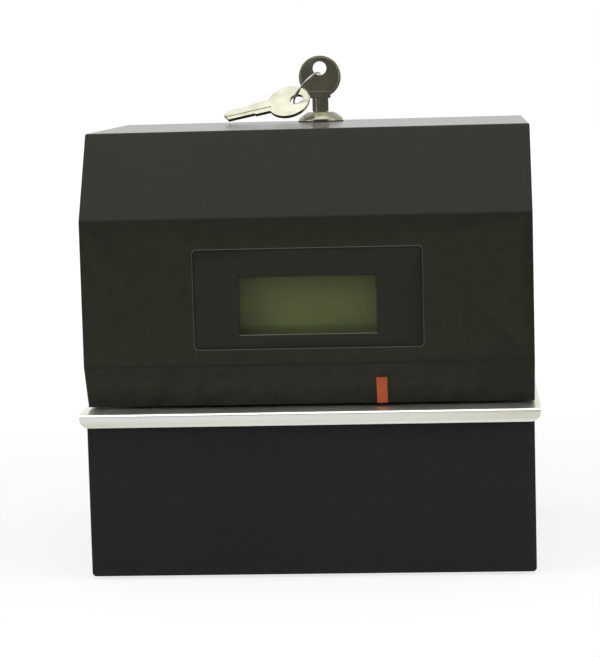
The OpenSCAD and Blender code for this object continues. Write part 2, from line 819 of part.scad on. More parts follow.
// Screws that hold the inner parts down
module inner_screws() {
    up = [0, 0, 0];
    to_front = [90, 0, 0];
    color("#b9bcbe") {
        for (y = deck_screw_y, s = [-1, 1])
            translate([s * (frame_in_x - sheet_t), y, deck_lug_z[1] - 5])
                rotate([0, -90 * s, 0]) pan_screw(2 * sheet_t);
        screw_set([for (p = block_screws) [p[0], p[1], deck_top + lug_t]], up, lug_t + 2);
        screw_set([for (p = motor_ears) [p[0], p[1], deck_top + lug_t]], up, lug_t + 2);
        screw_set([for (p = idler_feet) [p[0], p[1], deck_top + lug_t]], up, lug_t + 2);
        screw_set([for (p = lcd_feet) [p[0], p[1], deck_top + sheet_t]], up, sheet_t + 2);
        screw_set([for (p = supply_posts) [p[0], p[1], supply_z + pcb_t]], up, pcb_t + 3);
        screw_set([for (p = core_feet) [p[0], p[1], pan_top + sheet_t]], up, sheet_t + sheet_t);
        screw_set([for (p = board_posts) [p[0], board_y, p[1]]], to_front, 8);
        screw_set([for (p = lcd_posts) [p[0], lcd_board_y, p[1]]], to_front, 5);
        screw_set([for (x = [-keeper_screw_x, keeper_screw_x])
                   [x, panel_y - sheet_t, keeper_top - 5]], to_front, 2 * sheet_t);
    }
}

module screws() {
    outer_screws();
    inner_screws();
}

// ---- Power parts in the base ----

// The socket's hollow in X and Z: a rectangle with two cut corners
module socket_outline() {
    w = socket_size[0] / 2;
    h = socket_size[1] / 2;
    polygon([[-w, h], [w, h], [w, socket_cut - h], [w - socket_cut, -h],
             [socket_cut - w, -h], [-w, socket_cut - h]]);
}

module power_inlet() {
    face_y = rear_y + rear_proud;
    blade_at = [[-7, 2], [0, -3], [7, 2]];
    color("#202020") difference() {
        union() {
            block([inlet_x - inlet_size[0] / 2, inlet_x + inlet_size[0] / 2],
                  [rear_y - inlet_depth, face_y - seam],
                  [inlet_z - inlet_size[1] / 2, inlet_z + inlet_size[1] / 2]);
            translate([inlet_x, 0, inlet_z])
                front_shape([rear_y, face_y]) round_rect(inlet_plate, 3);
        }
        translate([inlet_x, 0, inlet_z])
            front_shape([face_y - socket_depth, face_y + 1]) socket_outline();
        for (x = [-inlet_screw_x, inlet_screw_x])
            bar_y([inlet_x + x, inlet_z], screw_hole_r, [rear_y - 1, face_y + 1]);
    }
    color("#c8b676") for (p = blade_at) {
        x = inlet_x + p[0];
        z = inlet_z + p[1];
        block([x - 1, x + 1], [rear_y - inlet_depth - 7, face_y - 4], [z - 2, z + 2]);
    }
}

module transformer_core() {
    x = core_at[0];
    y = [core_at[1] - core_size[1] / 2, core_at[1] + core_size[1] / 2];
    half = core_size[0] / 2;
    mid_z = pan_top + core_size[2] / 2;
    color("#5b5f63") difference() {
        union() {
            block([x - half, x + half], y, [pan_top, pan_top + core_size[2]]);
            block([x - half - 10, x + half + 10], [core_at[1] - 7, core_at[1] + 7],
                  [pan_top, pan_top + sheet_t]);
        }
        for (s = [-1, 1]) {
            cx = x + s * (core_leg + core_window[0] / 2);
            block([cx - core_window[0] / 2, cx + core_window[0] / 2], [y[0] - 1, y[1] + 1],
                  [mid_z - core_window[1] / 2, mid_z + core_window[1] / 2]);
        }
        for (p = core_feet)
            bar_z(p, screw_hole_r, [pan_top - 1, pan_top + sheet_t + 1]);
    }
}

module transformer_coil() {
    x = core_at[0];
    half = core_leg + core_window[0] - fit;
    mid_z = pan_top + core_size[2] / 2;
    z = [mid_z - core_window[1] / 2 + 0.2, mid_z + core_window[1] / 2 - 0.2];
    leg_y = core_size[1] / 2 + 0.1;
    color("#b98a3a") difference() {
        union() {
            block([x - half, x + half], [core_at[1] - coil_d / 2, core_at[1] + coil_d / 2],
                  [z[0] + 2, z[1] - 2]);
            for (zz = [z[0], z[1] - 2])
                block([x - half, x + half],
                      [core_at[1] - coil_d / 2 - 2, core_at[1] + coil_d / 2 + 2],
                      [zz, zz + 2 + seam]);
        }
        block([x - core_leg - 0.1, x + core_leg + 0.1],
              [core_at[1] - leg_y, core_at[1] + leg_y], [z[0] - 1, z[1] + 1]);
    }
}

module power_board() {
    top = supply_z + pcb_t;
    cap_at = [[20, 14, 6.5, 24], [36, 14, 6.5, 24], [52, 12, 4, 12], [62, 12, 4, 12]];
    sink_x = supply_x[0] + 22;
    sink_y = supply_y[1] - 16;
    fin_n = 7;
    color("#2f5d3a") difference() {
        block(supply_x, supply_y, [supply_z, top]);
        for (p = supply_posts)
            bar_z(p, screw_hole_r, [supply_z - 1, top + 1]);
    }
    // Spacers under the board
    color("#b9bcbe") for (p = supply_posts)
        difference() {
            bar_z(p, screw_head_r, [pan_top, supply_z]);
            bar_z(p, screw_hole_r, [pan_top - 1, supply_z + 1]);
        }
    color("#1f2530") for (c = cap_at)
        bar_z([supply_x[0] + c[0], supply_y[0] + c[1]], c[2], [top, top + c[3]]);
    // Terminal block, fuse with its clips, and heat sink with fins
    color("#2c6a3f") block([supply_x[0] + 1, supply_x[0] + 9],
                           [supply_y[0] + 26, supply_y[0] + 46], [top, terminal_top]);
    color("#d8d8d0") bar_x([supply_y[0] + 28, top + 5], 2.6,
                           [supply_x[0] + 26, supply_x[0] + 46]);
    color("#b9bcbe") for (x = [26, 42])
        block([supply_x[0] + x - 1, supply_x[0] + x + 5],
              [supply_y[0] + 25, supply_y[0] + 31], [top, top + 4]);
    color("#7d8286") {
        block([sink_x, sink_x + 44], [sink_y, sink_y + 3], [top, top + 26]);
        for (i = [0:fin_n - 1])
            block([sink_x + 7 * i, sink_x + 7 * i + 2], [sink_y - 9, sink_y + seam],
                  [top + 3, top + 26]);
    }
    color("#e6e1d2") block([supply_x[1] - 9, supply_x[1] - 1],
                           [supply_y[1] - 26, supply_y[1] - 10], [top, terminal_top]);
}

module battery_pack() {
    tray_t = 1;
    y = battery_at[1] + battery_r;
    z = pan_top + tray_t + battery_r;
    color("#3a3d40") {
        block([battery_at[0] - 1.5, battery_at[0] + battery_l + 1.5],
              [y - battery_r - 1.5, y + 3 * battery_r + 1.5], [pan_top, pan_top + tray_t]);
        for (x = [battery_at[0] - 1.5, battery_at[0] + battery_l + 0.5])
            block([x, x + 1], [y - battery_r - 1.5, y + 3 * battery_r + 1.5],
                  [pan_top, pan_top + 10]);
    }
    color("#3c7a4a") for (i = [0:1])
        bar_x([y + 2 * battery_r * i, z], battery_r - 0.02,
              [battery_at[0], battery_at[0] + battery_l]);
}

// ---- Boards ----

module main_board() {
    color("#2f5d3a") difference() {
        block([-board_x, board_x], [board_y, board_y + pcb_t], board_z);
        for (p = board_posts)
            bar_y(p, screw_hole_r, [board_y - 1, board_y + pcb_t + 1]);
    }
    color("#b9bcbe") for (p = board_posts)
        difference() {
            bar_y(p, screw_head_r, [board_y + pcb_t, panel_y]);
            bar_y(p, screw_hole_r, [board_y, panel_y + 1]);
        }
}

module main_board_parts() {
    chips = [[-16, 40, 52, 14], [-58, 30, 26, 8], [-58, 47, 26, 8], [46, 48, 20, 8],
             [46, 28, 20, 8], [8, 16, 20, 8]];
    cans = [[-77, 62, 4, 12], [-77, 50, 4, 12], [70, 66, 4, 10], [60, 66, 4, 10]];
    coin_r = 10;
    color("#1d1e20") for (c = chips)
        block([c[0] - c[2] / 2, c[0] + c[2] / 2], [board_y - 4, board_y],
              [board_z[0] + c[1] - c[3] / 2, board_z[0] + c[1] + c[3] / 2]);
    color("#27324a") for (c = cans)
        bar_y([c[0], board_z[0] + c[1]], c[2], [board_y - c[3], board_y]);
    color("#c9ccce") bar_y([26, board_z[0] + 66], coin_r, [board_y - 5, board_y]);
    // Header for the power leads, and the flat cable's connector
    color("#e6e1d2") {
        block([board_x - 15, board_x], [board_y - 7, board_y], header_z);
        block([flat_x[0] - 2, flat_x[1] + 2], [flat_y[1] - 2, board_y],
              [board_z[1] - 22, board_z[1] - 14]);
    }
}

// Leads: socket to transformer, transformer to power board, power board to main board
module wiring_loom() {
    behind_y = core_at[1] + coil_d / 2 + 16;
    coil_y = core_at[1] + coil_d / 2 + loom_r / 2;
    term_x = supply_x[0] + 5;
    term_y = supply_y[0] + 36;
    head_y = supply_y[1] - 18;
    rise_z = terminal_top + 12;
    color("#7c2f2a") lead([
        [inlet_x, rear_y - inlet_depth - 7, inlet_z],
        [inlet_x, behind_y, inlet_z],
        [core_at[0], behind_y, inlet_z],
        [core_at[0], coil_y + 0.5, inlet_z]
    ], loom_r);
    color("#35507a") lead([
        [core_at[0] + core_leg, core_at[1] - coil_d / 2 - loom_r, inlet_z],
        [term_x, core_at[1] - coil_d / 2 - loom_r, inlet_z],
        [term_x, term_y, inlet_z],
        [term_x, term_y, terminal_top]
    ], loom_r);
    color("#2b2b2b") lead([
        [supply_x[1] - 5, head_y, terminal_top],
        [supply_x[1] - 5, head_y, rise_z],
        [supply_x[1] - 5, loom_at[1], rise_z],
        [loom_at[0], loom_at[1], rise_z],
        [loom_at[0], loom_at[1], header_z[0] + 5],
        [board_x + seam, loom_at[1], header_z[0] + 5]
    ], loom_r);
}

// ---- Display ----

// A board with its sleeves and the three buttons' bodies
module lcd_board() {
    color("#2f5d3a") difference() {
        block(lcd_board_x, [lcd_board_y, lcd_board_y + pcb_t], lcd_board_z);
        for (p = lcd_posts)
            bar_y(p, screw_hole_r, [lcd_board_y - 1, lcd_board_y + pcb_t + 1]);
    }
    color("#202224") for (x = button_x)
        difference() {
            block([x - 3, x + 3], [lcd_board_y - button_body, lcd_board_y],
                  [window_z - 3, window_z + 3]);
            bar_y([x, window_z], button_r + 0.1,
                  [lcd_board_y - button_body - 1, lcd_board_y - 0.4]);
        }
}

// The pressed metal frame around the glass
module lcd_module() {
    lip_t = 0.6;
    color("#17181a") translate([display_x, 0, window_z]) difference() {
        front_shape([lcd_front_y, lcd_board_y]) square([lcd_w, lcd_h], center = true);
        front_shape([lcd_front_y - 1, lcd_board_y + 1])
            square([lcd_w - 2 * lcd_border, lcd_h - 2 * lcd_border], center = true);
        front_shape([lcd_front_y + lip_t, lcd_board_y + 1])
            square([lcd_w - lcd_border, lcd_h - lcd_border], center = true);
    }
}

module lcd_glass() {
    color("#5d6440") translate([display_x, 0, window_z])
        front_shape([lcd_front_y + 0.65, lcd_board_y - 0.05])
            square([lcd_w - lcd_border - 0.2, lcd_h - lcd_border - 0.2], center = true);
}

module lcd_bracket() {
    y = [lcd_bracket_y, lcd_bracket_y + sheet_t];
    color("#a4a8ab") difference() {
        union() {
            block(lcd_board_x, y, [deck_top, lcd_board_z[1]]);
            block(lcd_board_x, [frame_front_y + 0.5, y[1]], [deck_top, deck_top + sheet_t]);
            // Bosses between the bracket and the board
            for (p = lcd_posts)
                bar_y(p, 2.4, [lcd_board_y + pcb_t, y[0] + seam]);
        }
        for (p = lcd_posts)
            bar_y(p, screw_hole_r, [lcd_board_y, y[1] + 1]);
        for (p = lcd_feet)
            bar_z(p, screw_hole_r, [deck_top - 1, deck_top + sheet_t + 1]);
    }
}

// The flat cable arches over the mechanism from the display to the main board
module lcd_cable() {
    low = board_z[1] - 14;
    mid = [(flat_y[0] + flat_y[1] + flat_t) / 2, flat_top - 60];
    span = flat_y[1] - flat_y[0] + flat_t;
    color("#b9b3a2") difference() {
        side_shape(flat_x) translate(mid) round_rect([span, 120], flat_bend);
        side_shape([flat_x[0] - 1, flat_x[1] + 1])
            translate(mid) round_rect([span - 2 * flat_t, 120 - 2 * flat_t], flat_bend - flat_t);
        block([flat_x[0] - 1, flat_x[1] + 1], [mid[0], panel_y], [0, low]);
        block([flat_x[0] - 1, flat_x[1] + 1], [front_y, mid[0]], [0, lcd_board_z[1] - 12]);
    }
}

// ---- Print mechanism ----

module guide_shafts() {
    color("#d2d5d8") for (y = shaft_y)
        bar_x([y, shaft_z], shaft_r, [block_left_x - 1, block_right_x + block_t + 1]);
}

module shaft_blocks() {
    color("#6e7377") for (x = [block_left_x, block_right_x])
        difference() {
            union() {
                block([x, x + block_t], block_y, [deck_top, block_top]);
                block([x, x + block_t], block_lug_y, [deck_top, deck_top + lug_t]);
            }
            for (y = shaft_y)
                bar_x([y, shaft_z], shaft_r + close_fit, [x - 1, x + block_t + 1]);
            for (y = [block_y[0] - 4, block_y[1] + 4])
                bar_z([x + block_t / 2, y], screw_hole_r, [deck_top - 1, deck_top + lug_t + 1]);
        }
}

module step_motor() {
    at = [motor_x, belt_y];
    ear_l = motor_r + 8;
    color("#8f9498") difference() {
        union() {
            bar_z(at, motor_r, [deck_top, deck_top + motor_h]);
            block([at[0] - 4, at[0] + 4], [at[1] - ear_l, at[1] + ear_l],
                  [deck_top, deck_top + lug_t]);
            bar_z(at, 5.5, [deck_top + motor_h - seam, deck_top + motor_h + 1.5]);
        }
        bar_z(at, motor_shaft_r + close_fit, [deck_top + 3, deck_top + motor_h + 2]);
        for (p = motor_ears)
            bar_z(p, screw_hole_r, [deck_top - 1, deck_top + lug_t + 1]);
    }
}

// A belt pulley's body: the running surface between two rims
module pulley_body(at) {
    bar_z(at, belt_r, [belt_z[0] - fit - seam, belt_z[1] + fit + seam]);
    bar_z(at, pulley_rim_r, [belt_z[0] - fit - pulley_rim_t, belt_z[0] - fit]);
    bar_z(at, pulley_rim_r, [belt_z[1] + fit, belt_z[1] + fit + pulley_rim_t]);
}

module drive_pulley() {
    color("#d2d5d8") {
        pulley_body([motor_x, belt_y]);
        bar_z([motor_x, belt_y], motor_shaft_r, [deck_top + 4, belt_z[1] + fit + 3]);
    }
}

module idler_bracket() {
    foot_half = 5;
    post_top = belt_z[0] - 2 * fit - pulley_rim_t;
    color("#9a9fa3") {
        difference() {
            block([idler_x - foot_half, idler_x + foot_half], [belt_y - 17, belt_y + 17],
                  [deck_top, deck_top + lug_t]);
            for (p = idler_feet)
                bar_z(p, screw_hole_r, [deck_top - 1, deck_top + lug_t + 1]);
        }
        bar_z([idler_x, belt_y], foot_half, [deck_top, post_top]);
        bar_z([idler_x, belt_y], idler_pin_r, [post_top - seam, belt_z[1] + fit + 2.5]);
    }
}

module idler_pulley() {
    color("#e4e0d4") difference() {
        pulley_body([idler_x, belt_y]);
        bar_z([idler_x, belt_y], idler_pin_r + close_fit, [belt_z[0] - 3, belt_z[1] + 3]);
    }
}

module belt_outline(r) {
    for (x = [motor_x, idler_x])
        translate([x, belt_y]) circle(r);
    translate([motor_x, belt_y - r]) square([idler_x - motor_x, 2 * r]);
}

module timing_belt() {
    color("#1b1b1b") plan_shape(belt_z) difference() {
        belt_outline(belt_out);
        belt_outline(belt_in);
    }
}

module carriage() {
    clamp_y = [belt_y - belt_out - fit - 2.2, belt_y - belt_in + fit + 1.6];
    slot_y = [belt_y - belt_out - fit, belt_y - belt_in + fit];
    rib_t = 3;
    color("#2e3236") difference() {
        union() {
            block(carriage_x, carriage_y, carriage_z);
            block(arm_x, arm_y, arm_z);
            // Ribs under the arm, and the belt clamp on the back
            for (x = [arm_x[0], arm_x[1] - rib_t])
                block([x, x + rib_t], [carriage_y[0] - 6, carriage_y[0] + seam],
                      [carriage_z[0], arm_z[0] + seam]);
            block([head_x - 6, head_x + 6], clamp_y, [carriage_z[1] - seam, belt_z[1] + 2]);
        }
        for (y = shaft_y)
            bar_x([y, shaft_z], bush_r + close_fit, [carriage_x[0] - 1, carriage_x[1] + 1]);
        block([head_x - 7, head_x + 7], slot_y, [belt_z[0] - fit, belt_z[1] + fit]);
        bar_z([head_x, print_y], collar_r + close_fit, [arm_z[0] - 1, arm_z[1] + 1]);
    }
}

module carriage_bushes() {
    color("#b08d4a") for (y = shaft_y, x = [carriage_x[0], carriage_x[1] - bush_l])
        difference() {
            bar_x([y, shaft_z], bush_r, [x, x + bush_l]);
            bar_x([y, shaft_z], shaft_r + close_fit, [x - 1, x + bush_l + 1]);
        }
}

module print_head() {
    at = [head_x, print_y];
    foot_z = arm_z[0] - 7;
    fin_gap = (head_h - 5) / fin_count;
    color("#3b4046") difference() {
        union() {
            bar_z(at, head_r, [arm_z[1], arm_z[1] + head_h]);
            for (i = [0:fin_count - 1])
                bar_z(at, fin_r, [arm_z[1] + 1 + fin_gap * i, arm_z[1] + 1 + fin_t + fin_gap * i]);
            bar_z(at, collar_r, [foot_z, arm_z[1] + seam]);
            translate([at[0], at[1], foot_z - 8])
                cylinder(r1 = nose_half[0], r2 = collar_r, h = 8 + seam);
            // The nose that guides the wires down to the ribbon
            block([at[0] - nose_half[0], at[0] + nose_half[0]],
                  [at[1] - nose_half[1], at[1] + nose_half[1]], [nose_z, foot_z - 6]);
            block([at[0] - 7, at[0] + 7], [at[1] - 4, at[1] + 4],
                  [arm_z[1] + head_h - seam, arm_z[1] + head_h + 5]);
        }
        // Slot for the wires, and the space above it for their yoke
        block([at[0] - 0.4, at[0] + 0.4], [at[1] - 2.2, at[1] + 2.2], [nose_z - 1, nose_z + 7]);
        block([at[0] - 2, at[0] + 2], [at[1] - 4, at[1] + 4], [nose_z + 5, nose_z + 9]);
    }
}

module print_wires() {
    wire_n = 9;
    pitch = 0.45;
    r = 0.15;
    color("#d9dadb") {
        for (i = [0:wire_n - 1])
            bar_z([head_x, print_y + (i - (wire_n - 1) / 2) * pitch], r,
                  [nose_z, nose_z + 6.5]);
        block([head_x - 1.4, head_x + 1.4], [print_y - 2.1, print_y + 2.1],
              [nose_z + 6, nose_z + 8]);
    }
}

// ---- Ribbon cartridge ----

module ribbon_case() {
    riser_r = 0.7;
    color("#1f2123") difference() {
        union() {
            block(cart_x, cart_y, cart_z);
            for (x = [arm_left_x, arm_right_x]) {
                block([x, x + cart_arm_w], [cart_y[1] - seam, cart_arm_y[1]],
                      [deck_top + 2, cart_z[1]]);
                block([x, x + cart_arm_w], cart_arm_y, [ribbon_z + 0.4, deck_top + 3]);
            }
        }
        block([cart_x[0] + cart_wall, cart_x[1] - cart_wall],
              [cart_y[0] + cart_wall, cart_y[1] - cart_wall],
              [cart_z[0] + cart_wall, cart_z[1] + 1]);
        for (x = [arm_left_x, arm_right_x])
            block([x + cart_arm_w / 2 - riser_r, x + cart_arm_w / 2 + riser_r],
                  [print_y - ribbon_half - fit, print_y + ribbon_half + fit],
                  [ribbon_z - 1, cart_z[1] - cart_wall]);
        for (at = [knob_at, idle_at])
            bar_z(at, gear_stub_r + close_fit, [cart_z[0] - 1, cart_z[0] + cart_wall + 1]);
    }
}

module ribbon_lid() {
    color("#2a2c2f") difference() {
        block(cart_x, cart_y, [cart_z[1], lid_top]);
        bar_z(knob_at, knob_shaft_r + close_fit, [cart_z[1] - 1, lid_top + 1]);
        bar_z(idle_at, gear_stub_r + close_fit, [cart_z[1] - 1, lid_top + 1]);
    }
}

// The inked strip over the print line, and its two turns up into the arms
module ribbon_band() {
    x = [arm_left_x + cart_arm_w / 2, arm_right_x + cart_arm_w / 2];
    y = [print_y - ribbon_half, print_y + ribbon_half];
    color("#2b2338") {
        block([x[0] - ribbon_t / 2, x[1] + ribbon_t / 2], y, [ribbon_z, ribbon_z + ribbon_t]);
        for (riser = x)
            block([riser - ribbon_t / 2, riser + ribbon_t / 2], y,
                  [ribbon_z + seam, cart_z[1] - cart_wall - 0.5]);
    }
}

module ribbon_knob() {
    ribs = 12;
    color("#3f6f9a") {
        translate([knob_at[0], knob_at[1], gear_z[0]]) ribbon_gear(0);
        bar_z(knob_at, gear_stub_r, [cart_z[0] + 0.2, gear_z[0] + seam]);
        bar_z(knob_at, knob_shaft_r, [gear_z[1] - seam, lid_top + 0.5]);
        difference() {
            bar_z(knob_at, knob_r, [lid_top + 0.5, lid_top + 0.5 + knob_h]);
            for (i = [0:ribs - 1])
                bar_z(knob_at + knob_r * [cos(30 * i), sin(30 * i)], 0.8,
                      [lid_top, lid_top + knob_h + 1]);
        }
    }
}

module ribbon_idler_gear() {
    color("#d8d4c6") {
        translate([idle_at[0], idle_at[1], gear_z[0]]) ribbon_gear(180 / gear_teeth);
        bar_z(idle_at, gear_stub_r, [cart_z[0] + 0.2, lid_top - 0.2]);
    }
}

// ---- Paper trigger and paper stop ----

module trigger_bracket() {
    y = [trigger_y - 5, trigger_y + 5];
    color("#9a9fa3") {
        for (x = [cheek_x[0] - sheet_t, cheek_x[1]]) {
            block([x, x + sheet_t], y, [trigger_z - 5, table_bottom]);
        }
        block([cheek_x[0] - 10, cheek_x[0] - sheet_t + seam], y,
              [table_bottom - sheet_t, table_bottom]);
        block([cheek_x[1] + sheet_t - seam, cheek_x[1] + 10], y,
              [table_bottom - sheet_t, table_bottom]);
        bar_x([trigger_y, trigger_z], trigger_pin_r,
              [cheek_x[0] - sheet_t - 0.6, cheek_x[1] + sheet_t + 0.6]);
    }
}

module trigger_lever() {
    x = [trigger_x - trigger_half, trigger_x + trigger_half];
    color("#d9d4c4") difference() {
        union() {
            bar_x([trigger_y, trigger_z], trigger_hub_r, x);
            block(x, [finger_y - finger_half, finger_y + finger_half], [trigger_z, finger_top]);
            block(x, [trigger_y, trigger_y + tail_l],
                  [trigger_z - tail_half, trigger_z + tail_half]);
        }
        bar_x([trigger_y, trigger_z], trigger_pin_r + close_fit, [x[0] - 1, x[1] + 1]);
    }
}

// Points of the trigger's return spring: turns around the pin
module trigger_spring() {
    turns = 4;
    steps = 20;
    sides = 8;
    pitch = 0.75;
    x0 = trigger_x + trigger_half + 0.55;
    count = turns * steps;
    centre = [for (i = [0:count])
        let (a = 360 * i / steps)
        [x0 + pitch * i / steps, trigger_y + spring_r * cos(a), trigger_z + spring_r * sin(a)]];
    ring = [for (i = [0:count], k = [0:sides - 1])
        let (a = 360 * i / steps, b = 360 * k / sides)
        centre[i] + spring_wire_r * [cos(b), sin(b) * cos(a), sin(b) * sin(a)]];
    walls = [for (i = [0:count - 1], k = [0:sides - 1])
        let (n = (k + 1) % sides, low = i * sides, high = (i + 1) * sides)
        [low + k, low + n, high + n, high + k]];
    ends = [[for (k = [sides - 1:-1:0]) k], [for (k = [0:sides - 1]) count * sides + k]];
    color("#c4c7c9") polyhedron(ring, concat(walls, ends), convexity = 6);
}

module paper_switch() {
    x = [trigger_x - 10, trigger_x + 10];
    y = [trigger_y + tail_l - 7, trigger_y + tail_l];
    color("#5a2020") block(x, y, [switch_top - 10, switch_top - 1]);
    color("#c9ccce") bar_z([trigger_x, (y[0] + y[1]) / 2 + 1], 1.2,
                           [switch_top - 1 - seam, switch_top]);
    // Bracket up to the table
    color("#9a9fa3") {
        block([x[1], x[1] + sheet_t], y, [switch_top - 10, table_bottom]);
        block([x[1], x[1] + 9], y, [table_bottom - sheet_t, table_bottom]);
    }
}

module paper_stop() {
    tab = [stop_y, stop_y + sheet_t];
    edge = [stop_x - stop_half - 4, stop_x + stop_half + 4];
    color("#b3b7ba") difference() {
        union() {
            block(edge, [stop_y, stop_back_y], stop_z);
            block([stop_x - stop_half, stop_x + stop_half], tab,
                  [table_h + 0.5, stop_z[0] + seam]);
        }
        for (y = [stop_slot_y[0] + stud_r + 0.2, stop_slot_y[1] - stud_r - 0.2])
            bar_z([stop_x, y], stud_r + 0.2, [stop_z[0] - 1, stop_z[1] + 1]);
        block([stop_x - stud_r - 0.2, stop_x + stud_r + 0.2],
              [stop_slot_y[0] + stud_r + 0.2, stop_slot_y[1] - stud_r - 0.2],
              [stop_z[0] - 1, stop_z[1] + 1]);
    }
}

module stop_knob() {
    ribs = 10;
    z = [stop_z[1] + fit, stop_z[1] + fit + stop_knob_h];
    color("#202224") {
        difference() {
            bar_z([stop_x, stud_y], stop_knob_r, z);
            for (i = [0:ribs - 1])
                bar_z([stop_x, stud_y] + stop_knob_r * [cos(36 * i), sin(36 * i)], 1,
                      [z[0] - 1, z[1] + 1]);
        }
        bar_z([stop_x, stud_y], stud_r, [deck_z - 1.5, z[0] + seam]);
    }
}

// ---- Lock and keys ----

// A dome on the rim: the part of a ball that passes through the rim and the top face
module lock_dome() {
    top_r = plug_r + 1;
    rise = dome_h - rim_h;
    drop = (rim_r * rim_r - top_r * top_r - rise * rise) / (2 * rise);
    ball_r = sqrt(rim_r * rim_r + drop * drop);
    intersection() {
        translate([0, lock_y, body_h + rim_h - drop]) sphere(ball_r, $fn = 96);
        bar_z([0, lock_y], rim_r + 1, [body_h + rim_h - seam, plug_top]);
    }
    bar_z([0, lock_y], rim_r, [body_h, body_h + rim_h]);
}

module lock_body() {
    color("#c4c5c3") difference() {
        union() {
            lock_dome();
            bar_z([0, lock_y], barrel_r, [barrel_z, body_h + seam]);
        }
        bar_z([0, lock_y], plug_r + close_fit, [barrel_z - 1, plug_top + 1]);
    }
}

module lock_nut() {
    color("#b9bcbe") difference() {
        translate([0, lock_y, cover_in_z - nut_h]) cylinder(r = nut_r, h = nut_h, $fn = 6);
        bar_z([0, lock_y], barrel_r + close_fit, [cover_in_z - nut_h - 1, cover_in_z + 1]);
    }
}

module lock_plug() {
    slot = [blade_w / 2 + 0.1, key_t / 2 + 0.1];
    color("#b4b5b2") difference() {
        union() {
            bar_z([0, lock_y], plug_r, [barrel_z, plug_top]);
            bar_z([0, lock_y], stub_r, [cam_z[0] - 2.5, barrel_z + seam]);
        }
        block([-slot[0], slot[0]], [lock_y - slot[1], lock_y + slot[1]],
              [plug_top - blade_l - 1, plug_top + 1]);
    }
}

// The cam turns under the keeper when the lock is closed
module lock_cam() {
    color("#a4a8ab") difference() {
        union() {
            bar_z([0, lock_y], cam_half + 1.5, cam_z);
            block([0, cam_l - cam_half], [lock_y - cam_half, lock_y + cam_half], cam_z);
            bar_z([cam_l - cam_half, lock_y], cam_half, cam_z);
        }
        bar_z([0, lock_y], stub_r + close_fit, [cam_z[0] - 1, cam_z[1] + 1]);
    }
}

module lock_keeper() {
    z = [cam_z[1] + 0.6, cam_z[1] + 0.6 + sheet_t];
    x = [-keeper_half, keeper_half];
    color("#9a9fa3") difference() {
        union() {
            block(x, [keeper_y, panel_y], z);
            block(x, [panel_y - sheet_t, panel_y], [z[0], keeper_top]);
        }
        for (s = [-keeper_screw_x, keeper_screw_x])
            bar_y([s, keeper_top - 5], screw_hole_r, [panel_y - sheet_t - 1, panel_y + 1]);
    }
}

// A flat key around its bow's middle, with the blade pointing along -Z
module key_shape() {
    y = [-key_t / 2, key_t / 2];
    tip = neck_l + blade_l;
    half = blade_w / 2;
    bits = [0.5, 0.9, 0.4, 0.7];
    difference() {
        union() {
            bar_y([0, 0], bow_r, y);
            block([-neck_w / 2, neck_w / 2], y, [-neck_l, -bow_r + 2]);
            front_shape(y) polygon([[-half, -neck_l + 1], [half, -neck_l + 1],
                                    [half, 3 - tip], [0.8, -tip], [-half, 2.2 - tip]]);
        }
        bar_y([0, bow_hole_off], bow_hole_r, [y[0] - 1, y[1] + 1]);
        // Cuts along one edge of the blade
        for (i = [0:len(bits) - 1]) {
            z = -neck_l - 3.5 - 3.2 * i;
            front_shape([y[0] - 1, y[1] + 1]) polygon([
                [half + 1, z + 1.7], [half - bits[i], z + 0.5],
                [half - bits[i], z - 0.5], [half + 1, z - 1.7]]);
        }
        // Grooves along both faces
        for (s = [-1, 1])
            translate([-1.6, s * key_t / 2, (-tip - bow_r) / 2])
                cube([key_groove[0], 2 * key_groove[1], tip - bow_r + 3], center = true);
    }
}

module lock_key() {
    color("#bfc0bd") translate([0, lock_y, bow_z]) key_shape();
}

module spare_key() {
    color("#bfc0bd") translate(spare_at)
        rotate([0, 90 - spare_slope, 0]) rotate([0, 0, spare_tilt - 90]) key_shape();
}

module key_ring() {
    color("#aeb0ae") translate(ring_at)
        rotate(ring_turn) rotate_extrude() translate([ring_r, 0]) circle(wire_r);
}

// ---- Setting buttons ----

module button_cap(i) {
    color("#d9d4c4") bar_y([button_x[i], window_z], button_r,
                           [lcd_front_y - 0.5, lcd_board_y - 0.4 - button_stroke - 0.1]);
}

module mode_button() {
    button_cap(0);
}

module change_button() {
    button_cap(1);
}

module set_button() {
    button_cap(2);
}

// ---- Cover ----

// Places a shape drawn on the undercut strip: its X and Y run to the right and down the
// strip from the lower crease, and its Z points out of the cover
module on_undercut() {
    lean = atan2(lip_setback, lip_h);
    translate([0, front_y, crease_lo])
        rotate([90 + lean, 0, 0]) mirror([0, 1, 0]) children();
}

module cover_shell() {
    color("#33332e") difference() {
        side_shape([-half_w, half_w]) polygon(cover_line);
        side_shape([-cover_in_x, cover_in_x]) polygon(cover_hollow(cover_t));
        translate([display_x, 0, bezel_z])
            front_shape([front_y - 1, front_y + cover_t + 1])
                round_rect([bezel_w + 2 * bezel_rim, bezel_h + 2 * bezel_rim],
                           bezel_r + bezel_rim);
        bar_z([0, lock_y], barrel_r + close_fit, [cover_in_z - 1, body_h + 1]);
        on_undercut() for (at = pointer_pegs)
            translate([pointer_x, at, -cover_t - 1])
                cylinder(r = peg_r + close_fit, h = cover_t + 2);
    }
}

module print_pointer() {
    color("#b5562c") on_undercut() {
        translate([pointer_x - pointer_w / 2, pointer_end - pointer_l, 0])
            cube([pointer_w, pointer_l, pointer_proud]);
        for (at = pointer_pegs)
            translate([pointer_x, at, -cover_t - 0.8])
                cylinder(r = peg_r, h = cover_t + 0.8 + seam);
    }
}

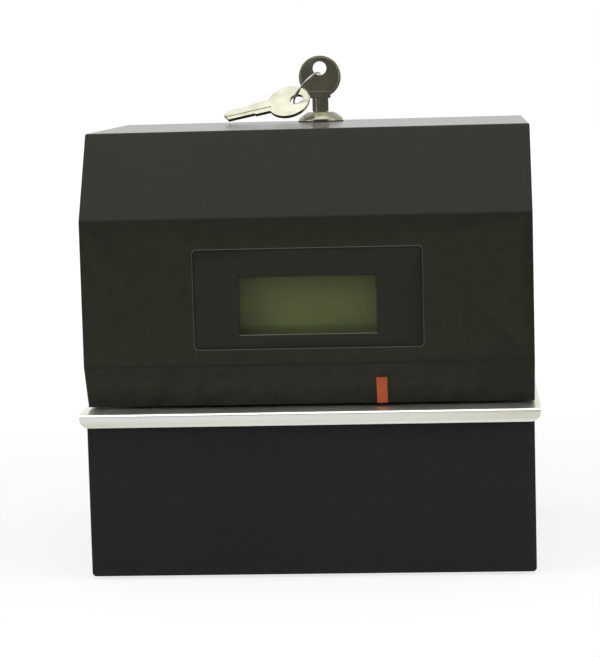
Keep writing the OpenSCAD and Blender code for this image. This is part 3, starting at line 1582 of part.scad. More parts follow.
module display_bezel() {
    face = front_y + bezel_sink;
    inner = [window_w + 2 * pane_lap + 0.2, window_h + 2 * pane_lap + 0.2];
    wall = 2 * tunnel_wall;
    color("#1d1d1b") difference() {
        union() {
            translate([display_x, 0, bezel_z]) {
                front_shape([face, face + bezel_t]) round_rect([bezel_w, bezel_h], bezel_r);
                front_shape([front_y + cover_t, face + bezel_t])
                    round_rect([bezel_w + 2 * bezel_flange, bezel_h + 2 * bezel_flange],
                               bezel_r);
            }
            translate([display_x, 0, window_z])
                front_shape([face + seam, tunnel_back_y])
                    square([inner[0] + wall, inner[1] + wall], center = true);
        }
        translate([display_x, 0, window_z]) {
            front_shape([face - 1, tunnel_back_y + 1])
                square([window_w, window_h], center = true);
            front_shape([pane_y, tunnel_back_y + 1]) square(inner, center = true);
        }
    }
}

module display_window() {
    color("#8d9497") translate([display_x, 0, window_z])
        front_shape([pane_y + close_fit, pane_y + close_fit + pane_t])
            square([window_w + 2 * pane_lap, window_h + 2 * pane_lap], center = true);
}

// ---- Nodes ----

base_shell();
bottom_pan();
rubber_feet();
card_table();
anvil_bar();
anvil_bracket();
rear_panel();
side_frames();
mechanism_deck();
screws();
power_inlet();
transformer_core();
transformer_coil();
power_board();
battery_pack();
main_board();
main_board_parts();
wiring_loom();
lcd_bracket();
lcd_board();
lcd_module();
lcd_glass();
lcd_cable();
guide_shafts();
shaft_blocks();
step_motor();
idler_bracket();
timing_belt();
ribbon_case();
ribbon_lid();
ribbon_band();
trigger_bracket();
trigger_spring();
paper_switch();
lock_keeper();
carriage();
carriage_bushes();
print_head();
print_wires();
drive_pulley();
idler_pulley();
ribbon_knob();
ribbon_idler_gear();
trigger_lever();
paper_stop();
stop_knob();
mode_button();
change_button();
set_button();
cover_shell();
display_bezel();
display_window();
print_pointer();
lock_body();
lock_nut();
lock_plug();
lock_cam();
lock_key();
key_ring();
spare_key();
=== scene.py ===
"""Date and time stamp machine: the visible model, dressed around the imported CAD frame."""

import json
import logging
import math
from collections.abc import Callable, Sequence
from dataclasses import dataclass, field
from enum import Enum

import bmesh
import bpy
from mathutils import Matrix, Vector

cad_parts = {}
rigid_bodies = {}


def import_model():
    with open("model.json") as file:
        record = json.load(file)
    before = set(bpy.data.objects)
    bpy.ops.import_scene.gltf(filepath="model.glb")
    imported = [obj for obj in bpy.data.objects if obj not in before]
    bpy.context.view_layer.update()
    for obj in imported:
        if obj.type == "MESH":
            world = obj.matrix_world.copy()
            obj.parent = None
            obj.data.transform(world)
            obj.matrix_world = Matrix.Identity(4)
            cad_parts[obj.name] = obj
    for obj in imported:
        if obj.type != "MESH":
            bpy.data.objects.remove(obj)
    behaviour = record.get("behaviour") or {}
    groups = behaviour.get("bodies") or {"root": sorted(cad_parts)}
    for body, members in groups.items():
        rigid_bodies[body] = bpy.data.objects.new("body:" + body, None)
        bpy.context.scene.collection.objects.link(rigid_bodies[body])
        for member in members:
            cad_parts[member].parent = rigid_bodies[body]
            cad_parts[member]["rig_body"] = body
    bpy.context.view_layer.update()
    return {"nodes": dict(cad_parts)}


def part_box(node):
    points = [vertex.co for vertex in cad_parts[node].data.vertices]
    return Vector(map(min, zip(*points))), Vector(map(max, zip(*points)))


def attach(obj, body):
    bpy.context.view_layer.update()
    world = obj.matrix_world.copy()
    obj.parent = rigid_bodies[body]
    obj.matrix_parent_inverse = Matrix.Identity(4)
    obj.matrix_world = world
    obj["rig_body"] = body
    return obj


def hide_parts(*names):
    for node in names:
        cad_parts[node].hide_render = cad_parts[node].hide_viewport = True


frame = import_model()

LOG = logging.getLogger("stamp_machine")

Colour = tuple[float, float, float]
Point = tuple[float, float, float]
Span = tuple[float, float]
Socket = bpy.types.NodeSocket

MM = 0.001  # one millimetre, in metres
MIDTONES: Span = (0.3, 0.7)  # where most values of a noise pattern lie
FRONTWARD = -0.9  # the most that the normal's Y may be on a face that looks to the front
WELD = 0.002 * MM  # vertices nearer than this are one
SLIVER = 0.0001 * MM  # an edge shorter than this is dissolved
FLAT = math.radians(0.6)  # faces that meet at less than this are one
ROUND = 96  # the steps of a full turn on a lathe


class Axis(Enum):
    """A direction of the row frame."""

    X = 0
    Y = 1
    Z = 2


class Op(Enum):
    """How a Math node puts two values together."""

    ADD = "ADD"
    MULTIPLY = "MULTIPLY"
    MAXIMUM = "MAXIMUM"
    ABSOLUTE = "ABSOLUTE"


# ---- Node trees ----


class Tree:
    """A material's node tree around one Principled shader.

    Args:
        name: the material's name.
    """

    def __init__(self, name: str) -> None:
        """Makes the material with its output and its shader."""
        self.material = bpy.data.materials.new(name)
        self.material.use_nodes = True
        self.nodes = self.material.node_tree.nodes
        self.links = self.material.node_tree.links
        self.nodes.clear()
        self.out = self.nodes.new("ShaderNodeOutputMaterial")
        self.shader = self.nodes.new("ShaderNodeBsdfPrincipled")
        self.links.new(self.shader.outputs["BSDF"], self.out.inputs["Surface"])

    def place(self, scale: Sequence[float] = (1, 1, 1),
              turn: Sequence[float] = (0, 0, 0)) -> Socket:
        """Object coordinates, stretched and turned by a Mapping node.

        Args:
            scale: the stretch along each axis.
            turn: the turn about each axis, in radians.

        Returns:
            The vector socket.
        """
        coords = self.nodes.new("ShaderNodeTexCoord")
        mapping = self.nodes.new("ShaderNodeMapping")
        mapping.inputs["Scale"].default_value = scale
        mapping.inputs["Rotation"].default_value = turn
        self.links.new(coords.outputs["Object"], mapping.inputs["Vector"])
        return mapping.outputs["Vector"]

    def noise(self, scale: float, vector: Socket | None = None, detail: float = 3.0,
              rough: float = 0.55) -> Socket:
        """A noise pattern.

        Args:
            scale: features per metre, about.
            vector: where it is read, Object coordinates if None.
            detail: the number of octaves.
            rough: how strong the fine octaves are.

        Returns:
            The value socket.
        """
        node = self.nodes.new("ShaderNodeTexNoise")
        node.inputs["Scale"].default_value = scale
        node.inputs["Detail"].default_value = detail
        node.inputs["Roughness"].default_value = rough
        self.links.new(vector or self.place(), node.inputs["Vector"])
        return node.outputs["Fac"]

    def cells(self, scale: float) -> Socket:
        """A Voronoi pattern's distance, read in Object coordinates.

        Args:
            scale: cells per metre, about.

        Returns:
            The value socket.
        """
        node = self.nodes.new("ShaderNodeTexVoronoi")
        node.inputs["Scale"].default_value = scale
        self.links.new(self.place(), node.inputs["Vector"])
        return node.outputs["Distance"]

    def waves(self, scale: float, direction: Axis, distortion: float = 0.0) -> Socket:
        """Straight bands along one axis, read in Object coordinates.

        Args:
            scale: the Wave node's scale.
            direction: the axis that the bands follow each other along.
            distortion: how uneven the bands are.

        Returns:
            The value socket.
        """
        node = self.nodes.new("ShaderNodeTexWave")
        node.bands_direction = direction.name
        node.inputs["Scale"].default_value = scale
        node.inputs["Distortion"].default_value = distortion
        self.links.new(self.place(), node.inputs["Vector"])
        return node.outputs["Fac"]

    def along(self, axis: Axis) -> Socket:
        """One coordinate of the object, in metres.

        Args:
            axis: which one.

        Returns:
            The value socket.
        """
        split = self.nodes.new("ShaderNodeSeparateXYZ")
        self.links.new(self.place(), split.inputs[0])
        return split.outputs[axis.value]

    def span(self, value: Socket, source: Span, target: Span = (0.0, 1.0)) -> Socket:
        """Maps a value from one range to another, held at its ends.

        Args:
            value: the socket that is mapped.
            source: the range it comes from.
            target: the range it goes to.

        Returns:
            The value socket.
        """
        node = self.nodes.new("ShaderNodeMapRange")
        for name, number in zip(("From Min", "From Max", "To Min", "To Max"), (*source, *target)):
            node.inputs[name].default_value = number
        self.links.new(value, node.inputs["Value"])
        return node.outputs["Result"]

    def sum(self, first: Socket, second: Socket | float, how: Op = Op.ADD) -> Socket:
        """Two values put together by a Math node.

        Args:
            first: a socket.
            second: a socket or a number.
            how: how they are put together.

        Returns:
            The value socket.
        """
        node = self.nodes.new("ShaderNodeMath")
        node.operation = how.value
        self.links.new(first, node.inputs[0])
        if isinstance(second, (int, float)):
            node.inputs[1].default_value = second
        else:
            self.links.new(second, node.inputs[1])
        return node.outputs[0]

    def mix(self, factor: Socket, first: Colour | Socket, second: Colour | Socket) -> Socket:
        """A mix of two colours.

        Args:
            factor: the factor's socket.
            first: a colour or a socket, for a factor of 0.
            second: a colour or a socket, for a factor of 1.

        Returns:
            The colour socket.
        """
        node = self.nodes.new("ShaderNodeMix")
        node.data_type = "RGBA"
        self.links.new(factor, node.inputs[0])
        for socket, given in ((node.inputs[6], first), (node.inputs[7], second)):
            if isinstance(given, (tuple, list)):
                socket.default_value = (*given, 1.0)
            else:
                self.links.new(given, socket)
        return node.outputs[2]

    def edges(self, low: float = 0.52, high: float = 0.58) -> Socket:
        """How near a point is to a convex edge, from Geometry's Pointiness.

        Args:
            low: the pointiness that counts as none.
            high: the pointiness that counts as a full edge.

        Returns:
            The value socket.
        """
        geometry = self.nodes.new("ShaderNodeNewGeometry")
        return self.span(geometry.outputs["Pointiness"], (low, high))

    def bump(self, height: Socket, strength: float, depth: float) -> None:
        """Raises the surface by a pattern.

        Args:
            height: the pattern's socket.
            strength: the Bump node's strength.
            depth: the height of the pattern, in metres.
        """
        node = self.nodes.new("ShaderNodeBump")
        node.inputs["Strength"].default_value = strength
        node.inputs["Distance"].default_value = depth
        self.links.new(height, node.inputs["Height"])
        self.links.new(node.outputs["Normal"], self.shader.inputs["Normal"])

    def feed(self, socket: str, source: Socket | Colour | float) -> None:
        """Links a pattern to one of the shader's sockets, or sets a constant there.

        Args:
            socket: the shader's socket.
            source: the pattern, or the constant.
        """
        target = self.shader.inputs[socket]
        if isinstance(source, tuple):
            target.default_value = (*source, 1.0)
        elif isinstance(source, (int, float)):
            target.default_value = source
        else:
            self.links.new(source, target)


# ---- Finishes ----


@dataclass(frozen=True)
class Finish:
    """What a surface is made of.

    Attributes:
        name: the material's name in Blender.
        slot: the record's material slot.
        colour: the base colour, linear.
        rough: the mean roughness.
        shine: the Specular IOR Level.
    """

    name: str
    slot: str
    colour: Colour
    rough: float = 0.5
    shine: float = 0.5

    def material(self) -> bpy.types.Material:
        """Makes the material, or finds it if it is there.

        Returns:
            The material.
        """
        found = bpy.data.materials.get(self.name)
        if found is None:
            tree = Tree(self.name)
            tree.feed("Base Color", self.colour)
            tree.feed("Roughness", self.rough)
            tree.feed("Specular IOR Level", self.shine)
            self.dress(tree)
            found = tree.material
        return found

    def dress(self, tree: Tree) -> None:
        """Adds the finish's own patterns to the plain shader."""

    def tint(self, share: float) -> Colour:
        """The base colour made lighter or darker by a share."""
        return tuple(min(1.0, part * share) for part in self.colour)


@dataclass(frozen=True)
class BakedEnamel(Finish):
    """Matt enamel baked on steel, with a fine orange peel, dust specks and rubbed edges.

    Attributes:
        grain: the scale of the fine peel.
        painted_shade: the foot and head, in metres, of the strip over the slot that is painted
            darker downwards, a painted shade where the undercut gets little light.
        shade_left: how much of the colour is left at the foot of that painted shade.
        coat: the weight, roughness and IOR of the clear coat, which shines at a glance only.
        cloud: the scale of the slow cloudiness, and its two tints.
        speck: the colour of the dust.
        dust: the scale of the specks, and how strongly they show.
        rub: how strongly the edges are rubbed, and their tint.
        peel: the strength of the peel, and its depth in metres.
    """

    grain: float = 900.0
    painted_shade: Span | None = None
    shade_left: float = 0.06
    coat: Point = (0.8, 0.16, 1.09)
    cloud: Point = (9.0, 0.9, 1.12)
    speck: Colour = (0.09, 0.09, 0.08)
    dust: Span = (330.0, 0.35)
    rub: Span = (0.55, 2.6)
    peel: Span = (0.32, 0.06 * MM)

    def dress(self, tree: Tree) -> None:
        """Adds the cloudiness, the specks, the painted shade over the slot, the rubbed edges, the
        coat and the peel.
        """
        scale, dim, bright = self.cloud
        cloud = tree.span(tree.noise(scale, detail=4.0), MIDTONES)
        base = tree.mix(cloud, self.tint(dim), self.tint(bright))
        scale, share = self.dust
        dust = tree.span(tree.cells(scale), (0.035, 0.02))
        base = tree.mix(tree.sum(dust, share, Op.MULTIPLY), base, self.speck)
        # Painted shade: the colour darkens towards the foot of the strip over the slot, where the
        # undercut gets little light.
        if self.painted_shade is not None:
            foot, head = self.painted_shade
            dull = tree.span(tree.along(Axis.Z), (head, foot))
            base = tree.mix(dull, base, self.tint(self.shade_left))
        share, bare = self.rub
        worn = tree.sum(tree.edges(0.515, 0.56), tree.noise(160.0), Op.MULTIPLY)
        worn = tree.sum(worn, share, Op.MULTIPLY)
        tree.feed("Base Color", tree.mix(worn, base, self.tint(bare)))
        fine = tree.noise(self.grain, detail=2.0)
        tree.feed("Roughness", tree.span(fine, MIDTONES, (self.rough - 0.05, self.rough + 0.07)))
        for socket, amount in zip(("Coat Weight", "Coat Roughness", "Coat IOR"), self.coat):
            tree.feed(socket, amount)
        peel = tree.sum(fine, tree.sum(tree.noise(2600.0, detail=1.0), 0.5, Op.MULTIPLY))
        tree.bump(peel, *self.peel)


@dataclass(frozen=True)
class BrushedSheet(Finish):
    """Bare sheet metal with brush lines along one axis.

    Attributes:
        along: the axis that the lines run along.
        lines: how strongly the lines are cut.
        ends: how far out, in metres, the sheet starts to be painted darker, and where it is
            darkest; this painted shade stands in for its dimmer reflection there.
        stretch: the scale across the lines, and along them.
        smudge: how strongly hand marks show, and their tint.
        dull: how strongly the ends are painted darker, and their tint.
        deep: the lines' depth, in metres.
    """

    along: Axis = Axis.X
    lines: float = 0.2
    ends: Span | None = None
    stretch: Span = (1900.0, 9.0)
    smudge: Span = (0.2, 0.82)
    dull: Span = (0.9, 0.83)
    deep: float = 0.03 * MM

    def dress(self, tree: Tree) -> None:
        """Adds the brush lines, hand marks, bright edges, and painted shade at the ends where
        asked for.
        """
        tree.feed("Metallic", 1.0)
        across, lengthways = self.stretch
        scales = [across, across, across]
        scales[self.along.value] = lengthways
        brush = tree.noise(1.0, tree.place(scales), detail=4.0, rough=0.7)
        marks = tree.span(tree.noise(22.0, detail=4.0), (0.35, 0.7))
        base = tree.mix(tree.span(brush, (0.25, 0.75)), self.tint(0.9), self.tint(1.1))
        share, tint = self.smudge
        base = tree.mix(tree.sum(marks, share, Op.MULTIPLY), base, self.tint(tint))
        # Painted shade: the sheet darkens towards its ends, where its reflection is dimmer.
        if self.ends is not None:
            share, tint = self.dull
            far = tree.span(tree.sum(tree.along(self.along), 0.0, Op.ABSOLUTE), self.ends)
            base = tree.mix(tree.sum(far, share, Op.MULTIPLY), base, self.tint(tint))
        tree.feed("Base Color", tree.mix(tree.edges(0.53, 0.6), base, self.tint(1.3)))
        rough = tree.span(brush, (0.2, 0.8), (self.rough - 0.08, self.rough + 0.1))
        tree.feed("Roughness", tree.sum(rough, tree.sum(marks, 0.06, Op.MULTIPLY)))
        tree.bump(brush, self.lines, self.deep)


@dataclass(frozen=True)
class Plating(Finish):
    """Plated or polished metal with hairline scratches and a dull bloom.

    Attributes:
        scratch: how strongly the scratches are cut.
        hair: the scratches' scale along each axis.
        turns: the two directions that they run in, in radians.
        bloom: the bloom's scale, and its tint.
        deep: the scratches' depth, in metres.
    """

    scratch: float = 0.15
    hair: Point = (90.0, 5200.0, 90.0)
    turns: Span = (0.5, 2.1)
    bloom: Span = (70.0, 0.72)
    deep: float = 0.02 * MM

    def dress(self, tree: Tree) -> None:
        """Adds the scratches in two directions and the bloom."""
        tree.feed("Metallic", 1.0)
        hair = [tree.noise(1.0, tree.place(self.hair, (0.3, turn, turn * 1.7)), detail=1.0)
                for turn in self.turns]
        lines = tree.sum(tree.sum(*hair), 0.5, Op.MULTIPLY)
        scale, tint = self.bloom
        bloom = tree.span(tree.noise(scale, detail=5.0), (0.35, 0.72))
        tree.feed("Base Color", tree.mix(bloom, self.colour, self.tint(tint)))
        rough = tree.span(lines, (0.35, 0.65), (self.rough * 0.7, self.rough * 1.35))
        tree.feed("Roughness", tree.sum(rough, tree.sum(bloom, 0.09, Op.MULTIPLY)))
        tree.bump(lines, self.scratch, self.deep)


@dataclass(frozen=True)
class Moulding(Finish):
    """Injection-moulded plastic with a spark-eroded grain.

    Attributes:
        grain: the grain's scale.
        relief: how strongly it is cut.
        flow: the scale of the flow marks, and their two tints.
        deep: the grain's depth, in metres.
    """

    grain: float = 1500.0
    relief: float = 0.25
    flow: Point = (35.0, 0.92, 1.1)
    deep: float = 0.05 * MM

    def dress(self, tree: Tree) -> None:
        """Adds the grain and the slow flow marks."""
        scale, dim, bright = self.flow
        flow = tree.span(tree.noise(scale), MIDTONES)
        base = tree.mix(flow, self.tint(dim), self.tint(bright))
        tree.feed("Base Color", tree.mix(tree.edges(), base, self.tint(1.5)))
        fine = tree.noise(self.grain, detail=2.0)
        tree.feed("Roughness", tree.span(fine, MIDTONES, (self.rough - 0.06, self.rough + 0.08)))
        tree.bump(fine, self.relief, self.deep)


@dataclass(frozen=True)
class SoftRubber(Finish):
    """Matt rubber with a dusty surface.

    Attributes:
        dust: the dust's scale, and its tint.
        pits: the pits' scale, their strength, and their depth in metres.
    """

    dust: Span = (260.0, 2.4)
    pits: Point = (2200.0, 0.3, 0.06 * MM)

    def dress(self, tree: Tree) -> None:
        """Adds the dust and the fine pits."""
        scale, tint = self.dust
        dust = tree.span(tree.noise(scale, detail=5.0), (0.45, 0.75))
        tree.feed("Base Color", tree.mix(dust, self.colour, self.tint(tint)))
        tree.feed("Roughness", tree.span(dust, (0, 1), (self.rough, self.rough + 0.12)))
        scale, strength, deep = self.pits
        tree.bump(tree.cells(scale), strength, deep)


@dataclass(frozen=True)
class ClearSheet(Finish):
    """A thin clear plastic pane that lets the lamps through.

    Attributes:
        ior: the plastic's IOR.
        haze: the haze's scale, and how much it roughens the pane.
    """

    ior: float = 1.46
    haze: Span = (45.0, 0.03)

    def dress(self, tree: Tree) -> None:
        """Adds fine haze to the pane, and clear shade for shadow rays."""
        tree.feed("Transmission Weight", 1.0)
        tree.feed("IOR", self.ior)
        scale, more = self.haze
        haze = tree.span(tree.noise(scale, detail=4.0), (0.4, 0.8))
        tree.feed("Roughness", tree.span(haze, (0, 1), (self.rough, self.rough + more)))
        path = tree.nodes.new("ShaderNodeLightPath")
        clear = tree.nodes.new("ShaderNodeBsdfTransparent")
        clear.inputs["Color"].default_value = (*self.colour, 1.0)
        blend = tree.nodes.new("ShaderNodeMixShader")
        tree.links.new(path.outputs["Is Shadow Ray"], blend.inputs[0])
        tree.links.new(tree.shader.outputs["BSDF"], blend.inputs[1])
        tree.links.new(clear.outputs[0], blend.inputs[2])
        tree.links.new(blend.outputs[0], tree.out.inputs["Surface"])


@dataclass(frozen=True)
class DisplayFace(Finish):
    """A reflective display: olive glass with the faint lattice of its cells.

    Attributes:
        across: the lit field's two sides, in metres.
        upright: the lit field's foot and head, in metres.
        soft: how far the shade reaches in from the sides, in metres.
        shade: how much of the colour is left in the shade.
        band: the height of the darker strip along the foot, in metres; partly the display's own
            border, partly painted shade and a painted reflection of the sill.
        border_and_shade_tint: what is left of each part of the colour along that strip.
        cells: the lattice's scale, how strongly it shows, and its tint.
    """

    across: Span = (-0.0345, 0.0344)
    upright: Span = (0.1148, 0.1464)
    soft: float = 0.0018
    shade: float = 0.02
    band: float = 0.0078
    border_and_shade_tint: Colour = (0.62, 0.56, 0.54)
    cells: Point = (300.0, 0.08, 0.6)

    def dress(self, tree: Tree) -> None:
        """Adds the lattice, the uneven fluid, the darker strip along the foot with its painted
        reflection, and the painted shade round the border.
        """
        scale, share, tint = self.cells
        lattice = tree.sum(tree.waves(scale, Axis.X), tree.waves(scale, Axis.Z), Op.MULTIPLY)
        fluid = tree.span(tree.noise(38.0, detail=2.0), MIDTONES)
        base = tree.mix(fluid, self.tint(0.93), self.tint(1.07))
        base = tree.mix(tree.sum(lattice, share, Op.MULTIPLY), base, self.tint(tint))
        wide, high = tree.along(Axis.X), tree.along(Axis.Z)
        (left, right), (foot, head) = self.across, self.upright
        # The strip along the foot: partly the display's own border, partly painted shade and a
        # painted reflection of the sill.
        strip = tree.span(high, (foot + self.band, foot + 0.6 * self.band))
        border_and_shade_colour = tuple(part * left_over for part, left_over in zip(self.colour, self.border_and_shade_tint))
        base = tree.mix(tree.sum(strip, 0.9, Op.MULTIPLY), base, border_and_shade_colour)
        # Painted shade round the field's sides and head, where the deep window's walls keep the
        # light off.
        sides = tree.sum(tree.span(wide, (left, left + self.soft)),
                         tree.span(wide, (right, right - 1.3 * self.soft)), Op.MULTIPLY)
        ends = tree.span(high, (head, head - 1.2 * self.soft))
        lit = tree.span(tree.sum(sides, ends, Op.MULTIPLY), (0.0, 0.85))
        tree.feed("Base Color", tree.mix(lit, self.tint(self.shade), base))
        tree.bump(tree.noise(1800.0, detail=1.0), 0.05, 0.02 * MM)


@dataclass(frozen=True)
class SolderMask(Finish):
    """A printed board: lacquer over copper tracks, with tinned pads.

    Attributes:
        tracks: the scale of the tracks, how they bend, and their tint.
        pads: the scale of the pads, how metallic they are, and their roughness.
        tin: the pads' colour.
    """

    tracks: Point = (80.0, 2.2, 1.9)
    pads: Point = (390.0, 0.9, 0.25)
    tin: Colour = (0.55, 0.56, 0.55)

    def dress(self, tree: Tree) -> None:
        """Adds the tracks and the pads."""
        scale, bend, tint = self.tracks
        tracks = tree.sum(tree.span(tree.waves(scale, Axis.X, bend), (0.62, 0.7)),
                          tree.span(tree.waves(scale, Axis.Z, bend), (0.78, 0.84)), Op.MAXIMUM)
        base = tree.mix(tracks, self.colour, self.tint(tint))
        scale, metal, rough = self.pads
        pads = tree.span(tree.cells(scale), (0.16, 0.13))
        tree.feed("Base Color", tree.mix(pads, base, self.tin))
        tree.feed("Metallic", tree.sum(pads, metal, Op.MULTIPLY))
        tree.feed("Roughness", tree.span(pads, (0, 1), (self.rough, rough)))
        tree.bump(tree.sum(tracks, pads), 0.4, 0.04 * MM)


@dataclass(frozen=True)
class Layers(Finish):
    """Fine parallel layers: laminations, windings, belt cords or a flat cable.

    Attributes:
        direction: the axis that the layers follow each other along.
        pitch: the layers' pitch, in metres.
        metal: how metallic they are.
        dark: the tint of the gaps.
    """

    direction: Axis = Axis.Z
    pitch: float = 0.6 * MM
    metal: float = 0.0
    dark: float = 0.35

    def dress(self, tree: Tree) -> None:
        """Adds the layers and their unevenness."""
        bands = tree.waves(math.pi / (10.0 * self.pitch), self.direction, 0.25)
        stain = tree.span(tree.noise(60.0, detail=4.0), MIDTONES)
        base = tree.mix(stain, self.tint(0.85), self.tint(1.15))
        tree.feed("Base Color", tree.mix(bands, self.tint(self.dark), base))
        tree.feed("Metallic", self.metal)
        tree.feed("Roughness", tree.span(stain, (0, 1), (self.rough, self.rough + 0.12)))
        tree.bump(bands, 0.6, self.pitch * 0.25)


@dataclass(frozen=True)
class InkedWeave(Finish):
    """Inked ribbon cloth: a plain weave with glossy and dry patches.

    Attributes:
        threads: the weave's scale.
        dry: the tint of the dry patches.
        sheen: the cloth's sheen.
    """

    threads: float = 900.0
    dry: float = 3.0
    sheen: float = 0.2

    def dress(self, tree: Tree) -> None:
        """Adds the threads and the ink's patches."""
        weave = tree.sum(tree.waves(self.threads, Axis.X), tree.waves(self.threads, Axis.Z),
                         Op.MULTIPLY)
        ink = tree.span(tree.noise(180.0, detail=4.0), (0.35, 0.7))
        tree.feed("Base Color", tree.mix(ink, self.colour, self.tint(self.dry)))
        tree.feed("Roughness", tree.span(ink, (0, 1), (self.rough, self.rough + 0.2)))
        tree.feed("Sheen Weight", self.sheen)
        tree.bump(weave, 0.7, 0.06 * MM)


class Dress:
    """Every finish of this machine."""

    # The cover's paint darkens towards the slot: painted shade in the undercut.
    COVER = BakedEnamel("charcoal_enamel", "cover_paint", (0.0175, 0.0166, 0.0112), 0.44, 0.1,
                        painted_shade=(0.084, 0.108))
    CASE = BakedEnamel("black_enamel", "case_paint", (0.0135, 0.0135, 0.0137), 0.48, 0.1)
    PANEL = BakedEnamel("panel_enamel", "case_paint", (0.0145, 0.0145, 0.0147), 0.5, 0.1)
    # The table's ends are painted darker: painted shade where its reflection is dimmer.
    TABLE = BrushedSheet("brushed_table", "stainless", (0.93, 0.925, 0.745), 0.34,
                         ends=(0.03, 0.105))
    ZINC = BrushedSheet("zinc_sheet", "zinc_steel", (0.48, 0.49, 0.5), 0.4, along=Axis.Z,
                        lines=0.1)
    FASTENER = Plating("zinc_screws", "zinc_steel", (0.5, 0.51, 0.52), 0.3)
    TOOL = BrushedSheet("ground_steel", "tool_steel", (0.3, 0.31, 0.32), 0.34, lines=0.3)
    SHAFT = Plating("ground_shafts", "ground_shaft", (0.66, 0.67, 0.68), 0.13, scratch=0.05)
    # A darker copy of the keys' nickel for the lock's dome and plug: painted shade that dims the
    # dome's reflection of the white surround.
    NICKEL_SHADED = Plating("nickel_bright", "nickel", (0.29, 0.28, 0.21), 0.16)
    NICKEL_KEY = Plating("nickel_keys", "nickel", (0.6, 0.59, 0.46), 0.2, scratch=0.3)
    # A darker copy of the keys' nickel for the spare, which faces the lamps: painted shade.
    NICKEL_SPARE_SHADED = Plating("nickel_spare", "nickel", (0.47, 0.465, 0.37), 0.26, scratch=0.3)
    WIRE = Plating("nickel_wire", "nickel", (0.42, 0.41, 0.36), 0.2)
    RUBBER = SoftRubber("foot_rubber", "rubber", (0.02, 0.02, 0.02), 0.7)
    BLACK = Moulding("black_moulding", "black_plastic", (0.016, 0.016, 0.017), 0.42)
    BEZEL = Moulding("bezel_moulding", "bezel_plastic", (0.0165, 0.0157, 0.0125), 0.42, 0.1)
    # The bezel's plastic made several times lighter for the window's ledge: a painted highlight
    # along the window's foot.
    LEDGE_HIGHLIGHT = Moulding("window_ledge", "bezel_plastic", (0.1, 0.098, 0.08), 0.35, 0.4)
    # The bezel's plastic made lighter for the bead round the bezel: a painted highlight on the
    # bead.
    BEAD_HIGHLIGHT = Moulding("bezel_bead", "bezel_plastic", (0.026, 0.025, 0.02), 0.3, 0.5)
    POINTER = Moulding("pointer_moulding", "pointer_plastic", (0.3, 0.056, 0.017), 0.4, 0.3, 900.0)
    PANE = ClearSheet("clear_pane", "clear_plastic", (0.93, 0.95, 0.92), 0.02, 0.2)
    DISPLAY = DisplayFace("display_olive", "lcd_green", (0.18, 0.215, 0.08), 0.4, 0.2)
    SEAL = Moulding("display_seal", "lcd_green", (0.012, 0.014, 0.008), 0.4, 0.2)
    BOARD = SolderMask("solder_mask", "board_green", (0.02, 0.1, 0.035), 0.35)
    CHIP = Moulding("moulded_epoxy", "component_black", (0.018, 0.018, 0.02), 0.45)
    COIL = Layers("taped_winding", "copper_coil", (0.5, 0.25, 0.06), 0.35, pitch=0.0009, dark=0.55)
    CORE = Layers("laminations", "lamination", (0.13, 0.13, 0.135), 0.5, direction=Axis.Y,
                  metal=0.7)
    CELLS = Moulding("shrink_sleeve", "battery_wrap", (0.05, 0.25, 0.08), 0.3, relief=0.1)
    LEADS = Moulding("insulated_leads", "lead_pvc", (0.05, 0.05, 0.06), 0.35, relief=0.1)
    FLAT = Layers("flat_cable", "flat_cable_grey", (0.5, 0.48, 0.43), 0.4, direction=Axis.X,
                  pitch=0.00127, dark=0.7)
    INK = InkedWeave("inked_nylon", "ribbon_ink", (0.008, 0.006, 0.02), 0.42)
    NYLON = Moulding("natural_nylon", "nylon", (0.66, 0.62, 0.52), 0.4)
    BLUE = Moulding("blue_nylon", "blue_nylon", (0.04, 0.13, 0.3), 0.38)
    BRONZE = Plating("sintered_bronze", "bronze", (0.48, 0.32, 0.12), 0.42)
    BELT = Layers("toothed_belt", "belt_rubber", (0.018, 0.018, 0.018), 0.6, pitch=0.0005)
    BRASS = Plating("brass_blades", "black_plastic", (0.62, 0.45, 0.16), 0.28)
    CAN = Moulding("capacitor_sleeve", "board_green", (0.02, 0.028, 0.06), 0.28, relief=0.05)
    TERMINAL = Moulding("terminal_block", "board_green", (0.03, 0.18, 0.06), 0.4)
    SINK = BrushedSheet("heat_sink", "board_green", (0.42, 0.43, 0.45), 0.4, along=Axis.Z)
    LEADS_RED = Moulding("red_leads", "lead_pvc", (0.28, 0.02, 0.015), 0.35, relief=0.1)
    LEADS_BLUE = Moulding("blue_leads", "lead_pvc", (0.02, 0.05, 0.2), 0.35, relief=0.1)
    HEAD = Moulding("black_anodised", "head_metal", (0.05, 0.055, 0.06), 0.35)


# ---- Mesh work ----


def islands(bm: bmesh.types.BMesh) -> list[list[bmesh.types.BMVert]]:
    """The vertices of each loose part of a mesh.

    Args:
        bm: the mesh.

    Returns:
        One list of vertices for each part.
    """
    seen: set[int] = set()
    found = []
    for seed in bm.verts:
        if seed.index in seen:
            continue
        seen.add(seed.index)
        part, stack = [], [seed]
        while stack:
            vert = stack.pop()
            part.append(vert)
            for edge in vert.link_edges:
                other = edge.other_vert(vert)
                if other.index not in seen:
                    seen.add(other.index)
                    stack.append(other)
        found.append(part)
    return found


def soften(bm: bmesh.types.BMesh, edges: Sequence[bmesh.types.BMEdge], width: float,
           segments: int = 2) -> None:
    """Rounds edges with a bevel.

    Args:
        bm: the mesh.
        edges: the edges that are rounded.
        width: the bevel's offset, in metres.
        segments: the bevel's steps.
    """
    if edges:
        bmesh.ops.bevel(bm, geom=list(edges), offset=width, offset_type="OFFSET",
                        segments=segments, profile=0.5, affect="EDGES", clamp_overlap=True,
                        material=-1)


